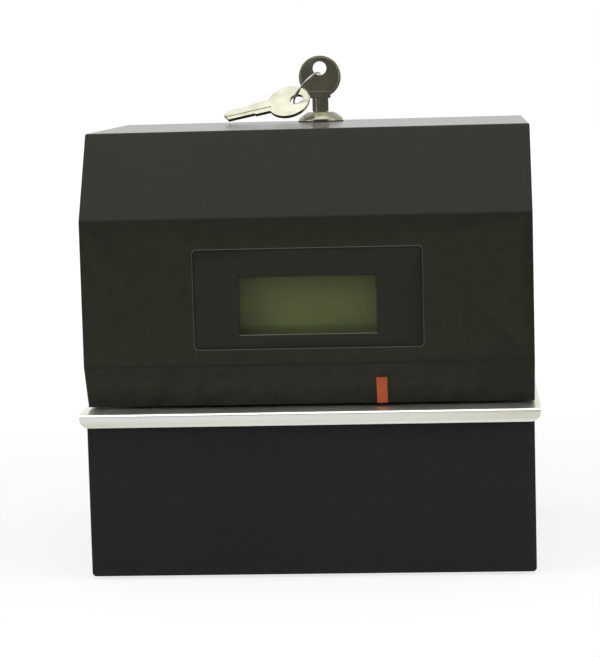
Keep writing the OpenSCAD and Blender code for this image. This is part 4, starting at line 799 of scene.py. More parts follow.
def corners(bm: bmesh.types.BMesh, sharp: float = 30.0,
            keep: Callable[[bmesh.types.BMEdge], bool] | None = None) -> list[bmesh.types.BMEdge]:
    """The edges where two faces meet at more than an angle.

    Args:
        bm: the mesh.
        sharp: the least angle, in degrees.
        keep: a test that an edge has to pass as well.

    Returns:
        The edges.
    """
    least = math.radians(sharp)
    return [e for e in bm.edges
            if e.is_manifold and e.calc_face_angle(0.0) > least and (keep is None or keep(e))]


def merged(node: str) -> bmesh.types.BMesh:
    """A copy of a CAD node's mesh, with its triangles joined into whole faces.

    Args:
        node: the node's name.

    Returns:
        The copy.
    """
    bm = bmesh.new()
    bm.from_mesh(frame["nodes"][node].data)
    bmesh.ops.remove_doubles(bm, verts=bm.verts, dist=WELD)
    bmesh.ops.dissolve_degenerate(bm, edges=bm.edges, dist=SLIVER)
    bmesh.ops.dissolve_limit(bm, angle_limit=FLAT, verts=bm.verts, edges=bm.edges)
    bm.verts.index_update()
    return bm


def piece(name: str, bm: bmesh.types.BMesh, body: str, finish: Finish,
          stands_for: Sequence[str] = (), smooth: float = 35.0) -> bpy.types.Object:
    """Makes a finished piece of a mesh.

    Args:
        name: the piece's name.
        bm: its mesh, in place in the row frame; it is freed.
        body: the CAD body that it rides on.
        finish: what it is made of.
        stands_for: the CAD nodes that it replaces.
        smooth: the angle, in degrees, past which an edge stays sharp.

    Returns:
        The new object.
    """
    mesh = bpy.data.meshes.new(name)
    bm.to_mesh(mesh)
    bm.free()
    mesh.shade_smooth()
    mesh.set_sharp_from_angle(angle=math.radians(smooth))
    mesh.materials.append(finish.material())
    obj = bpy.data.objects.new(name, mesh)
    bpy.context.scene.collection.objects.link(obj)
    weigh = obj.modifiers.new("even_normals", "WEIGHTED_NORMAL")
    weigh.keep_sharp = True
    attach(obj, body)
    if stands_for:
        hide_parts(*stands_for)
    LOG.info("%s rides on %s, %d faces", name, body, len(mesh.polygons))
    return obj


def body_of(node: str) -> str:
    """The CAD body that a node belongs to."""
    return frame["nodes"][node]["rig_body"]


def refined(node: str, finish: Finish, edge: float = 0.25,
            segments: int = 2) -> bpy.types.Object:
    """A CAD node's shape with its edges broken, part by part.

    Args:
        node: the node that it stands for.
        finish: what it is made of.
        edge: the width of the broken edges, in millimetres.
        segments: the bevel's steps.

    Returns:
        The new piece.
    """
    bm = merged(node)
    for part in islands(bm):
        inside = set(part)
        soften(bm, corners(bm, keep=lambda e: e.verts[0] in inside), edge * MM, segments)
    return piece(f"{node}_dressed", bm, body_of(node), finish, [node])


def loop(profile: Sequence[Span], centre: Sequence[float]) -> bmesh.types.BMesh:
    """Spins a closed outline of (radius, height) points, for a piece with a bore.

    Args:
        profile: the outline's points, in millimetres.
        centre: the foot of the axis, in millimetres.

    Returns:
        The closed mesh, in metres, with its faces outwards.
    """
    bm = bmesh.new()
    verts = [bm.verts.new((r * MM, 0.0, h * MM)) for r, h in profile]
    edges = [bm.edges.new(pair) for pair in zip(verts, verts[1:] + verts[:1])]
    bmesh.ops.spin(bm, geom=verts + edges, cent=(0, 0, 0), axis=(0, 0, 1), dvec=(0, 0, 0),
                   angle=math.tau, steps=ROUND, use_merge=True, use_duplicate=False)
    bmesh.ops.remove_doubles(bm, verts=bm.verts, dist=WELD / 2)
    bmesh.ops.recalc_face_normals(bm, faces=bm.faces)
    bmesh.ops.transform(bm, matrix=Matrix.Translation(Vector(centre) * MM), verts=bm.verts)
    return bm


@dataclass(frozen=True)
class Patch:
    """A box of space, in millimetres, whose faces take another finish.

    Attributes:
        what: what the faces are.
        finish: their finish.
        low: the box's least corner.
        high: its greatest corner.
    """

    what: str
    finish: Finish
    low: Point
    high: Point


def paint(obj: bpy.types.Object, patches: Sequence[Patch]) -> None:
    """Gives the faces inside each patch its finish.

    Args:
        obj: the piece.
        patches: the patches, the last one on top.
    """
    for patch in patches:
        index = len(obj.data.materials)
        obj.data.materials.append(patch.finish.material())
        for face in obj.data.polygons:
            if all(least < at / MM < most
                   for least, at, most in zip(patch.low, face.center, patch.high)):
                face.material_index = index
        LOG.debug("%s: the %s is painted", obj.name, patch.what)


def tube(path: Sequence[tuple[Vector, Vector]], side: Vector, radius: float,
         closed: bool = True, around: int = 8) -> bmesh.types.BMesh:
    """Draws a round bar along a path.

    Args:
        path: points, each with a unit vector square to the path, in metres.
        side: the unit vector square to the path and to those vectors.
        radius: the bar's radius, in metres.
        closed: whether the last point joins the first one.
        around: the bar's facets.

    Returns:
        The closed mesh, with its faces outwards.
    """
    bm = bmesh.new()
    turns = [math.tau * i / around for i in range(around)]
    rows = [[bm.verts.new(at + radius * (math.cos(a) * out + math.sin(a) * side)) for a in turns]
            for at, out in path]
    pairs = list(zip(rows, rows[1:]))
    if closed:
        pairs.append((rows[-1], rows[0]))
    else:
        bm.faces.new(rows[0])
        bm.faces.new(rows[-1])
    for row, after in pairs:
        for i in range(around):
            bm.faces.new((row[i], row[i - 1], after[i - 1], after[i]))
    bmesh.ops.recalc_face_normals(bm, faces=bm.faces)
    return bm


# ---- Sub-assemblies ----


@dataclass
class Cover:
    """The folded sheet cover.

    Attributes:
        fold: the rounding of the folded edges, in millimetres.
        rim: the rounding of the raw sheet edges, in millimetres.
        spread: how far each side stands out past the CAD shell, in millimetres.
        slack: how far from the shell's box an edge still counts as on it, in millimetres.
        side: the share of the half width past which a vertex is on a side.
        finish: its paint.
    """

    fold: float = 0.9
    rim: float = 0.25
    spread: float = 0.6
    slack: float = 0.5
    side: float = 0.9
    finish: Finish = Dress.COVER

    def build(self) -> None:
        """Rounds the shell's folded and cut edges, and sets its sides a little out."""
        bm = merged("cover_shell")
        low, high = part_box("cover_shell")
        slack = self.slack * MM

        def outside(edge: bmesh.types.BMEdge) -> bool:
            """True on the shell's outer faces."""
            return edge.is_convex and all(abs(v.co.x) > high.x - slack for v in edge.verts)

        def raw(edge: bmesh.types.BMEdge) -> bool:
            """True on the cut edges of the sheet, at the foot and the back."""
            return (all(v.co.z < low.z + slack for v in edge.verts)
                    or all(v.co.y > high.y - slack for v in edge.verts))

        for vert in bm.verts:
            if abs(vert.co.x) > high.x * self.side:
                vert.co.x += math.copysign(self.spread * MM, vert.co.x)
        soften(bm, corners(bm, 8.0, lambda e: outside(e) and not raw(e)), self.fold * MM, 4)
        soften(bm, corners(bm, 50.0, raw), self.rim * MM, 1)
        piece("cover_folded", bm, "cover", self.finish, ["cover_shell"], smooth=50.0)


@dataclass
class Display:
    """The bezel, the clear pane, and the reflective display behind them.

    Attributes:
        border: the width of the display's dark seal, in millimetres.
        bezel_edge: the rounding of the bezel, in millimetres.
        corner: the radius of the bead's corners, in millimetres.
        flange: how far the bezel's hidden flange reaches past the bead, in millimetres.
        bead_r: the radius of the bead round the bezel, in millimetres.
        bead_sunk: how far the bead's middle lies behind the bezel's face, in millimetres.
        opening: the window's width and height, in millimetres.
        ledge_r: the radius of the ledge along the window's foot, in millimetres.
        seal: how far the field is sunk in its seal, and the rounding of the glass.
        steps: the steps of each of the bead's corners.
    """

    border: float = 2.0
    bezel_edge: float = 0.35
    corner: float = 2.0
    flange: float = 3.8
    bead_r: float = 0.34
    bead_sunk: float = -0.35
    opening: Span = (66.6, 28.4)
    ledge_r: float = 0.16
    seal: Span = (0.05, 0.12)
    steps: int = 8

    def bezel(self) -> None:
        """The moulded frame, and the pane behind its window."""
        refined("display_bezel", Dress.BEZEL, self.bezel_edge, 3)
        refined("display_window", Dress.PANE, 0.08, 1)

    def bead(self) -> None:
        """The thin rounded bead in the gap round the bezel, and the ledge under the window, both
        lighter than the bezel's plastic as painted highlights.
        """
        low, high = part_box("display_bezel")
        middle = (low + high) / 2
        turn = self.corner * MM
        inset = turn + self.flange * MM
        reach = Vector(((high.x - low.x) / 2 - inset, 0, (high.z - low.z) / 2 - inset))
        path = []
        for quarter, (right, up) in enumerate(((1, 1), (-1, 1), (-1, -1), (1, -1))):
            for step in range(self.steps + 1):
                angle = math.radians(90 * (quarter + step / self.steps))
                out = Vector((math.cos(angle), 0, math.sin(angle)))
                at = Vector((middle.x + right * reach.x, low.y + self.bead_sunk * MM,
                             middle.z + up * reach.z))
                path.append((at + turn * out, out))
        piece("bezel_bead", tube(path, Vector((0, 1, 0)), self.bead_r * MM), "cover", Dress.BEAD_HIGHLIGHT)
        pane_low, pane_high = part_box("display_window")
        pane = (pane_low + pane_high) / 2
        wide, tall = (side * MM for side in self.opening)
        sill = Vector((pane.x, low.y + 0.6 * self.ledge_r * MM, pane.z - tall / 2))
        ends = [(sill + Vector((side * wide / 2, 0, 0)), Vector((0, 0, 1))) for side in (-1, 1)]
        ledge = tube(ends, Vector((0, 1, 0)), self.ledge_r * MM, closed=False)
        # The ledge takes the lighter copy of the bezel's plastic: a painted highlight.
        piece("window_ledge", ledge, "cover", Dress.LEDGE_HIGHLIGHT)

    def glass(self) -> None:
        """The display's glass, with a sunk seal round its field."""
        low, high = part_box("lcd_glass")
        bm = bmesh.new()
        bmesh.ops.create_cube(bm, size=1.0)
        bmesh.ops.scale(bm, vec=high - low, verts=bm.verts)
        bmesh.ops.translate(bm, vec=(low + high) / 2, verts=bm.verts)
        sunk, rounding = (depth * MM for depth in self.seal)
        front = [f for f in bm.faces if f.normal.y < FRONTWARD]
        bmesh.ops.inset_region(bm, faces=front, thickness=self.border * MM, depth=-sunk)
        soften(bm, corners(bm, 60.0), rounding)
        obj = piece("display_glass", bm, "case", Dress.DISPLAY, ["lcd_glass"])
        obj.data.materials.append(Dress.SEAL.material())
        field_x = (low.x + self.border * MM, high.x - self.border * MM)
        field_z = (low.z + self.border * MM, high.z - self.border * MM)
        for face in obj.data.polygons:
            at = face.center
            inside = field_x[0] < at.x < field_x[1] and field_z[0] < at.z < field_z[1]
            face.material_index = 0 if inside and face.normal.y < FRONTWARD else 1

    def build(self) -> None:
        """Builds the display from the front to the back."""
        self.bezel()
        self.bead()
        self.glass()
        refined("lcd_module", Dress.BLACK, 0.2)


@dataclass
class Pointer:
    """The print pointer on the undercut.

    Attributes:
        edge: the rounding of its edges, in millimetres.
    """

    edge: float = 0.45

    def build(self) -> None:
        """Rounds the moulded bar."""
        refined("print_pointer", Dress.POINTER, self.edge, 3)


@dataclass
class CardTable:
    """The brushed steel sheet that cards slide on, and the anvil under it.

    Attributes:
        edge: the deburred edge of the sheet, in millimetres.
        cad_bend: the lip's bend radius in the CAD, in millimetres.
        bend: the bend radius that is shown.
        deeper: how much deeper the lip is shown, in millimetres.
        near: how far off the CAD's bend a vertex still counts as on it, in millimetres.
    """

    edge: float = 0.22
    cad_bend: float = 2.5
    bend: float = 1.5
    deeper: float = 0.5
    near: float = 0.02

    def sheet(self) -> None:
        """The folded sheet, with a tight bend and broken edges."""
        bm = merged("card_table")
        low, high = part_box("card_table")
        radius = self.cad_bend * MM
        centre = Vector((0, low.y + radius, high.z - radius))
        shift = (self.cad_bend - self.bend) * MM
        for vert in bm.verts:
            arm = Vector((0, vert.co.y - centre.y, vert.co.z - centre.z))
            on_bend = abs(arm.length - radius) < self.near * MM
            if on_bend and arm.y < WELD / 2 and arm.z > -WELD / 2:
                moved = centre + Vector((0, -shift, shift)) + arm.normalized() * self.bend * MM
                vert.co.y, vert.co.z = moved.y, moved.z
            elif vert.co.y < centre.y and vert.co.z < centre.z - 5 * self.near * MM:
                vert.co.z -= self.deeper * MM
        soften(bm, corners(bm), self.edge * MM)
        piece("card_table_dressed", bm, "case", Dress.TABLE, ["card_table"])

    def build(self) -> None:
        """Bends the sheet and sets the anvil under it."""
        self.sheet()
        refined("anvil_bar", Dress.TOOL, 0.4)
        refined("anvil_bracket", Dress.ZINC, 0.3)


@dataclass
class BaseCase:
    """The base shell, its feet and bottom pan, and the rear panel.

    Attributes:
        fold: the rounding of the folded edges, in millimetres.
        rim: the rounding of the raw sheet edges, in millimetres.
        slack: how far from the shell's box an edge still counts as on it, in millimetres.
    """

    fold: float = 0.7
    rim: float = 0.25
    slack: float = 0.4

    def shell(self) -> None:
        """The folded tray."""
        bm = merged("base_shell")
        low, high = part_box("base_shell")
        slack = self.slack * MM

        def fold(edge: bmesh.types.BMEdge) -> bool:
            """True on the front face's outline."""
            return all(v.co.y < low.y + slack for v in edge.verts)

        def raw(edge: bmesh.types.BMEdge) -> bool:
            """True on the cut edges at the back."""
            return all(v.co.y > high.y - slack for v in edge.verts)

        soften(bm, corners(bm, 40.0, fold), self.fold * MM, 3)
        soften(bm, corners(bm, 50.0, raw), self.rim * MM, 1)
        piece("base_folded", bm, "case", Dress.CASE, ["base_shell"], smooth=40.0)

    def build(self) -> None:
        """Builds the tray and what closes it."""
        self.shell()
        refined("rear_panel", Dress.PANEL, 0.2, 1)
        refined("bottom_pan", Dress.ZINC, 0.2, 1)
        refined("rubber_feet", Dress.RUBBER, 0.5, 3)
        refined("screws", Dress.FASTENER, 0.0)
        for node in ("side_frames", "mechanism_deck"):
            refined(node, Dress.ZINC, 0.2, 1)


@dataclass
class Lock:
    """The cam lock in the cover's top. Its sizes are in millimetres.

    Attributes:
        rim_r: the flange's radius.
        rim_h: the height of the flange's rim.
        crown_r: the radius of the flat crown.
        bore_r: the radius of the plug's bore.
        barrel_r: the radius over the barrel's thread.
        thread: the thread's pitch, the width of its crest, the place of its root, its depth.
        plain: the plain lengths of the barrel under the thread and over it.
        gasket: the radius and thickness of the black gasket under the flange.
        lip: the roundings of the flange's rim.
        rings: the points from the dome's rim to its crown, less one.
    """

    rim_r: float = 11.9
    rim_h: float = 1.5
    crown_r: float = 7.0
    bore_r: float = 6.05
    barrel_r: float = 9.5
    thread: tuple[float, float, float, float] = (1.0, 0.3, 0.65, 0.45)
    plain: Span = (1.0, 2.0)
    gasket: Span = (12.3, 0.5)
    lip: Point = (0.08, 0.2, 0.3)
    rings: int = 14

    def dome(self, crown: float) -> list[Span]:
        """The dome's points from the rim to the crown.

        Args:
            crown: the crown's height over the cover, in millimetres.

        Returns:
            Points of radius and height.
        """
        rise = crown - self.rim_h
        drop = (self.rim_r**2 - self.crown_r**2 - rise**2) / (2 * rise)
        ball = math.hypot(self.rim_r, drop)
        first = self.rim_r - 0.25
        radii = [first - (first - self.crown_r) * i / self.rings for i in range(self.rings + 1)]
        return [(r, self.rim_h - drop + math.sqrt(ball * ball - r * r)) for r in radii]

    def barrel(self, height: float) -> list[Span]:
        """The threaded barrel's points from its foot to the cover.

        Args:
            height: the barrel's height under the cover's top, in millimetres.

        Returns:
            Points of radius and height over the barrel's foot.
        """
        pitch, crest, root, deep = self.thread
        start, end = self.plain
        turn = [(self.barrel_r, 0.0), (self.barrel_r, crest), (self.barrel_r - deep, root)]
        turns = int((height - start - end) / pitch)
        neck = self.barrel_r - 0.1
        return [(self.bore_r, 0.0), (self.barrel_r - 0.5, 0.0), (neck, 0.4),
                *((r, start + pitch * i + h) for i in range(turns) for r, h in turn),
                (neck, height - start), (neck, height)]

    def body(self) -> None:
        """The threaded barrel, the rim and the dome, turned as one, and the gasket."""
        low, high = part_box("lock_body")
        plug_low, plug_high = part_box("lock_plug")
        axis = ((plug_low.x + plug_high.x) / 2 / MM, (plug_low.y + plug_high.y) / 2 / MM)
        cover_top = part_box("cover_shell")[1].z / MM
        foot, height = low.z / MM, (high.z - low.z) / MM
        seat = cover_top - foot
        fine, edge, break_h = self.lip
        outline = [*self.barrel(seat), (self.rim_r - edge, seat), (self.rim_r, seat + edge),
                   (self.rim_r, seat + self.rim_h - break_h),
                   (self.rim_r - fine, seat + self.rim_h - fine)]
        outline += [(r, h + seat) for r, h in self.dome(height - seat)]
        outline += [(self.crown_r - 0.3, height), (self.bore_r + 0.25, height),
                    (self.bore_r, height - 0.25)]
        piece("lock_flange", loop(outline, (*axis, foot)), "cover", Dress.NICKEL_SHADED, ["lock_body"],
              smooth=28.0)
        wide, thick = self.gasket
        inner, round_r = self.barrel_r + 0.1, wide - 0.1
        ring = loop([(inner, 0.02), (round_r, 0.02), (wide, thick / 2), (round_r, thick),
                     (inner, thick)], (*axis, cover_top))
        piece("lock_gasket", ring, "cover", Dress.RUBBER)

    def build(self) -> None:
        """Builds the lock from its flange to its cam."""
        self.body()
        refined("lock_plug", Dress.NICKEL_SHADED, 0.12)
        refined("lock_nut", Dress.FASTENER, 0.4)
        for node in ("lock_cam", "lock_keeper"):
            refined(node, Dress.ZINC, 0.2)


@dataclass
class Keys:
    """The key in the lock, the spare on the wire ring, and the ring. Sizes are in millimetres.

    Attributes:
        bow_r: the bow's radius.
        thick: the blank's thickness.
        broken: the width of the blanks' broken edges.
        coin: the coined line's distance from the bow's edge.
        coin_line: the half widths of the line's foot and crest, its height, its sunk depth.
        collar: the width, height and place of the collar under the bow.
        collar_edges: how much the collar is thicker than the bow, and its two roundings.
        spare_at: the middle of the spare's bow from the middle of the lock key's.
        spare_slope: how far the spare's blade points down, in degrees.
        ring_at: the middle of the wire ring from the middle of the lock key's bow.
        ring_r: the wire ring's radius.
        ring_turn: its turns about Y and then about Z, in degrees.
        crimp_arc: where its sleeve starts and ends round it, in degrees.
        crimp_r: the sleeve's radius.
        crimp_edge: the rounding of its ends.
        crimp_steps: the steps along it.
    """

    bow_r: float = 11.35
    thick: float = 2.0
    broken: float = 0.22
    coin: float = 1.0
    coin_line: tuple[float, float, float, float] = (0.3, 0.16, 0.12, 0.05)
    collar: Point = (11.3, 3.8, -9.7)
    collar_edges: Point = (0.3, 0.7, 0.12)
    spare_at: Point = (-16.6, -7.8, -13.2)
    spare_slope: float = 11.5
    ring_at: Point = (-7.1, 0.1, -6.2)
    ring_r: float = 10.6
    ring_turn: Span = (128.0, -18.0)
    crimp_arc: Span = (272.0, 294.0)
    crimp_r: float = 0.8
    crimp_edge: float = 0.15
    crimp_steps: int = 8

    def spare(self, bow: Vector) -> None:
        """The spare key, turned over about its blade so that its cuts face up.

        Args:
            bow: the middle of the lock key's bow, in metres.
        """
        slope = math.radians(self.spare_slope)
        blade = Vector((-math.cos(slope), 0, -math.sin(slope)))
        bm = merged("spare_key")
        bmesh.ops.rotate(bm, cent=bow + Vector(self.spare_at) * MM, verts=bm.verts,
                         matrix=Matrix.Rotation(math.pi, 3, blade))
        soften(bm, corners(bm), self.broken * MM, 3)
        # The spare takes the darker copy of the keys' nickel: painted shade.
        piece("spare_key_dressed", bm, "ring", Dress.NICKEL_SPARE_SHADED, ["spare_key"])

    def crimp(self, bow: Vector) -> None:
        """The sleeve that closes the wire ring.

        Args:
            bow: the middle of the lock key's bow, in metres.
        """
        tilt, turn = (math.radians(angle) for angle in self.ring_turn)
        plane = Matrix.Rotation(turn, 3, "Z") @ Matrix.Rotation(tilt, 3, "Y")
        centre = bow + Vector(self.ring_at) * MM
        first, last = self.crimp_arc
        path = []
        for step in range(self.crimp_steps + 1):
            angle = math.radians(first + (last - first) * step / self.crimp_steps)
            out = plane @ Vector((math.cos(angle), math.sin(angle), 0))
            path.append((centre + self.ring_r * MM * out, out))
        bm = tube(path, plane @ Vector((0, 0, 1)), self.crimp_r * MM, closed=False, around=16)
        soften(bm, corners(bm, 60.0), self.crimp_edge * MM)
        piece("ring_crimp", bm, "ring", Dress.WIRE)

    def stamping(self, name: str, body: str, place: Matrix) -> None:
        """The coined line round both faces of the bow, and the collar under it.

        Args:
            name: the piece's name.
            body: the body that it rides on.
            place: the key's place, with its bow's middle at the origin and its blade along -Z.
        """
        half = self.thick / 2
        line = self.bow_r - self.coin
        foot, crest, tall, sunk = self.coin_line
        bm = bmesh.new()
        for side in (-1, 1):
            ring = loop([(line - foot, -sunk), (line - crest, tall), (line + crest, tall),
                         (line + foot, -sunk)], (0, 0, 0))
            turn = Matrix.Rotation(math.radians(90 * side), 4, "X")
            bmesh.ops.transform(ring, matrix=Matrix.Translation((0, -side * half * MM, 0)) @ turn,
                                verts=ring.verts)
            self.join(bm, ring)
        width, height, at = self.collar
        more, side_edge, face_edge = self.collar_edges
        plate = bmesh.new()
        bmesh.ops.create_cube(plate, size=1.0)
        bmesh.ops.scale(plate, vec=Vector((width, self.thick + more, height)) * MM,
                        verts=plate.verts)
        bmesh.ops.translate(plate, vec=(0, 0, at * MM), verts=plate.verts)

        def through(edge: bmesh.types.BMEdge) -> bool:
            """True on the edges that run from face to face."""
            run = edge.verts[1].co - edge.verts[0].co
            return max(abs(run.x), abs(run.z)) < WELD / 2

        soften(plate, corners(plate, 60.0, through), side_edge * MM, 4)
        soften(plate, corners(plate, 60.0), face_edge * MM)
        self.join(bm, plate)
        bmesh.ops.transform(bm, matrix=place, verts=bm.verts)
        piece(name, bm, body, Dress.NICKEL_KEY)

    @staticmethod
    def join(bm: bmesh.types.BMesh, other: bmesh.types.BMesh) -> None:
        """Adds another mesh to one and frees it.

        Args:
            bm: the mesh that grows.
            other: the mesh that is added.
        """
        mesh = bpy.data.meshes.new("part")
        other.to_mesh(mesh)
        other.free()
        bm.from_mesh(mesh)
        bpy.data.meshes.remove(mesh)

    def build(self) -> None:
        """Builds both keys and the ring."""
        low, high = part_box("lock_key")
        bow = Vector(((low.x + high.x) / 2, (low.y + high.y) / 2, high.z - self.bow_r * MM))
        refined("lock_key", Dress.NICKEL_KEY, self.broken, 3)
        self.spare(bow)
        self.crimp(bow)
        self.stamping("lock_key_stamping", "key", Matrix.Translation(bow))
        refined("key_ring", Dress.WIRE, 0.0)


@dataclass(frozen=True)
class Part:
    """A node inside the machine.

    Attributes:
        node: the CAD node that it stands for.
        finish: its main finish.
        edge: the width of its broken edges, in millimetres.
        patches: the other finishes on it.
    """

    node: str
    finish: Finish
    edge: float
    patches: tuple[Patch, ...] = ()

    def build(self) -> None:
        """Dresses the node and paints its patches."""
        paint(refined(self.node, self.finish, self.edge), self.patches)


@dataclass
class Insides:
    """Everything that shows when the cover is lifted.

    Attributes:
        parts: the nodes, each with its finishes.
    """

    parts: list[Part] = field(default_factory=lambda: [
        Part("power_inlet", Dress.BLACK, 0.3, (
            Patch("one side's blade", Dress.BRASS, (-68.2, 50.0, 31.8), (-65.8, 91.0, 36.2)),
            Patch("earth blade", Dress.BRASS, (-61.2, 50.0, 26.8), (-58.8, 91.0, 31.2)),
            Patch("other side's blade", Dress.BRASS, (-54.2, 50.0, 31.8), (-51.8, 91.0, 36.2)))),
        Part("transformer_core", Dress.CORE, 0.2),
        Part("transformer_coil", Dress.COIL, 0.8),
        Part("power_board", Dress.BOARD, 0.15, (
            Patch("pillars", Dress.FASTENER, (-1.0, -60.0, 0.0), (79.0, 10.0, 9.45)),
            Patch("capacitors", Dress.CAN, (13.0, -48.6, 11.2), (66.6, -35.0, 40.0)),
            Patch("terminal block", Dress.TERMINAL, (0.9, -30.0, 11.2), (9.1, -9.8, 40.0)),
            Patch("fuse clips", Dress.FASTENER, (24.9, -31.0, 11.2), (47.2, -24.8, 15.2)),
            Patch("fuse cover", Dress.NYLON, (25.9, -30.6, 15.2), (46.1, -25.2, 19.0)),
            Patch("heat sink", Dress.SINK, (21.9, -17.0, 11.2), (66.1, -4.8, 40.0)),
            Patch("plug housing", Dress.NYLON, (68.9, -18.0, 11.2), (77.1, -1.8, 40.0)))),
        Part("battery_pack", Dress.BLACK, 0.3, (
            Patch("cells", Dress.CELLS, (11.9, 19.0, 5.6), (56.1, 50.0, 22.0)),)),
        Part("main_board", Dress.BOARD, 0.1, (
            Patch("pillars", Dress.FASTENER, (-90.0, 80.3, 95.0), (90.0, 90.0, 190.0)),)),
        Part("main_board_parts", Dress.CHIP, 0.2, (
            Patch("upright capacitor", Dress.CAN, (-82.0, 60.0, 146.0), (-72.0, 80.0, 169.0)),
            Patch("lying capacitor", Dress.CAN, (55.0, 60.0, 163.0), (75.0, 80.0, 172.0)),
            Patch("clock cell", Dress.SHAFT, (15.9, 70.0, 157.4), (36.1, 80.0, 177.6)),
            Patch("head's plug", Dress.NYLON, (69.9, 70.0, 113.4), (85.1, 80.0, 122.6)),
            Patch("display's plug", Dress.NYLON, (-42.1, 70.0, 159.4), (-21.9, 80.0, 167.6)))),
        Part("wiring_loom", Dress.LEADS, 0.0, (
            Patch("inlet's leads", Dress.LEADS_RED, (-64.0, 24.0, 25.0), (-42.0, 63.0, 40.0)),
            Patch("board's leads", Dress.LEADS_BLUE, (-37.0, -30.0, 20.0), (9.0, -16.0, 40.0)))),
        Part("lcd_bracket", Dress.ZINC, 0.15),
        Part("lcd_board", Dress.BOARD, 0.1, (
            Patch("front parts", Dress.CHIP, (-50.0, -80.0, 100.0), (75.0, -70.25, 160.0)),)),
        Part("lcd_cable", Dress.FLAT, 0.1),
        Part("guide_shafts", Dress.SHAFT, 0.5),
        Part("shaft_blocks", Dress.HEAD, 0.4),
        Part("step_motor", Dress.ZINC, 0.3),
        Part("idler_bracket", Dress.ZINC, 0.2, (
            Patch("pin", Dress.SHAFT, (80.0, 0.0, 93.5), (100.0, 40.0, 130.0)),)),
        Part("timing_belt", Dress.BELT, 0.1),
        Part("ribbon_case", Dress.BLACK, 0.3),
        Part("ribbon_lid", Dress.BLACK, 0.3),
        Part("ribbon_band", Dress.INK, 0.0),
        Part("trigger_bracket", Dress.ZINC, 0.15),
        Part("trigger_spring", Dress.SHAFT, 0.0),
        Part("paper_switch", Dress.CHIP, 0.2, (
            Patch("switch blade", Dress.SHAFT, (30.0, 0.0, 79.85), (40.0, 12.0, 82.0)),
            Patch("lug", Dress.ZINC, (45.05, 0.0, 60.0), (55.0, 12.0, 82.0)))),
        Part("carriage", Dress.HEAD, 0.3),
        Part("carriage_bushes", Dress.BRONZE, 0.15),
        Part("print_head", Dress.HEAD, 0.2, (
            Patch("nose", Dress.TOOL, (17.0, -40.0, 80.0), (53.0, 0.0, 101.0)),
            Patch("lead's socket", Dress.NYLON, (27.9, -26.0, 139.9), (42.1, -17.0, 146.0)))),
        Part("print_wires", Dress.SHAFT, 0.0),
        Part("drive_pulley", Dress.ZINC, 0.15),
        Part("idler_pulley", Dress.NYLON, 0.15),
        Part("ribbon_knob", Dress.BLUE, 0.2),
        Part("ribbon_idler_gear", Dress.NYLON, 0.15),
        Part("trigger_lever", Dress.NYLON, 0.25),
        Part("paper_stop", Dress.ZINC, 0.15),
        Part("stop_knob", Dress.BLACK, 0.3),
        Part("mode_button", Dress.NYLON, 0.3),
        Part("change_button", Dress.NYLON, 0.3),
        Part("set_button", Dress.NYLON, 0.3),
    ])

    def build(self) -> None:
        """Dresses each part of the list."""
        for part in self.parts:
            part.build()


# ---- Studio ----


@dataclass(frozen=True)
class Lamp:
    """A square soft box.

    Attributes:
        name: the lamp's name.
        at: its place, in metres.
        size: its side, in metres.
        power: its power, in watts.
    """

    name: str
    at: tuple[float, float, float]
    size: float
    power: float

    def build(self, target: Vector) -> None:
        """Hangs the soft box so that it faces the target."""
        data = bpy.data.lights.new(self.name, "AREA")
        data.shape = "SQUARE"
        data.size = self.size
        data.energy = self.power
        lamp = bpy.data.objects.new(self.name, data)
        lamp.location = self.at
        lamp.rotation_euler = (target - lamp.location).to_track_quat("-Z", "Y").to_euler()
        bpy.context.scene.collection.objects.link(lamp)


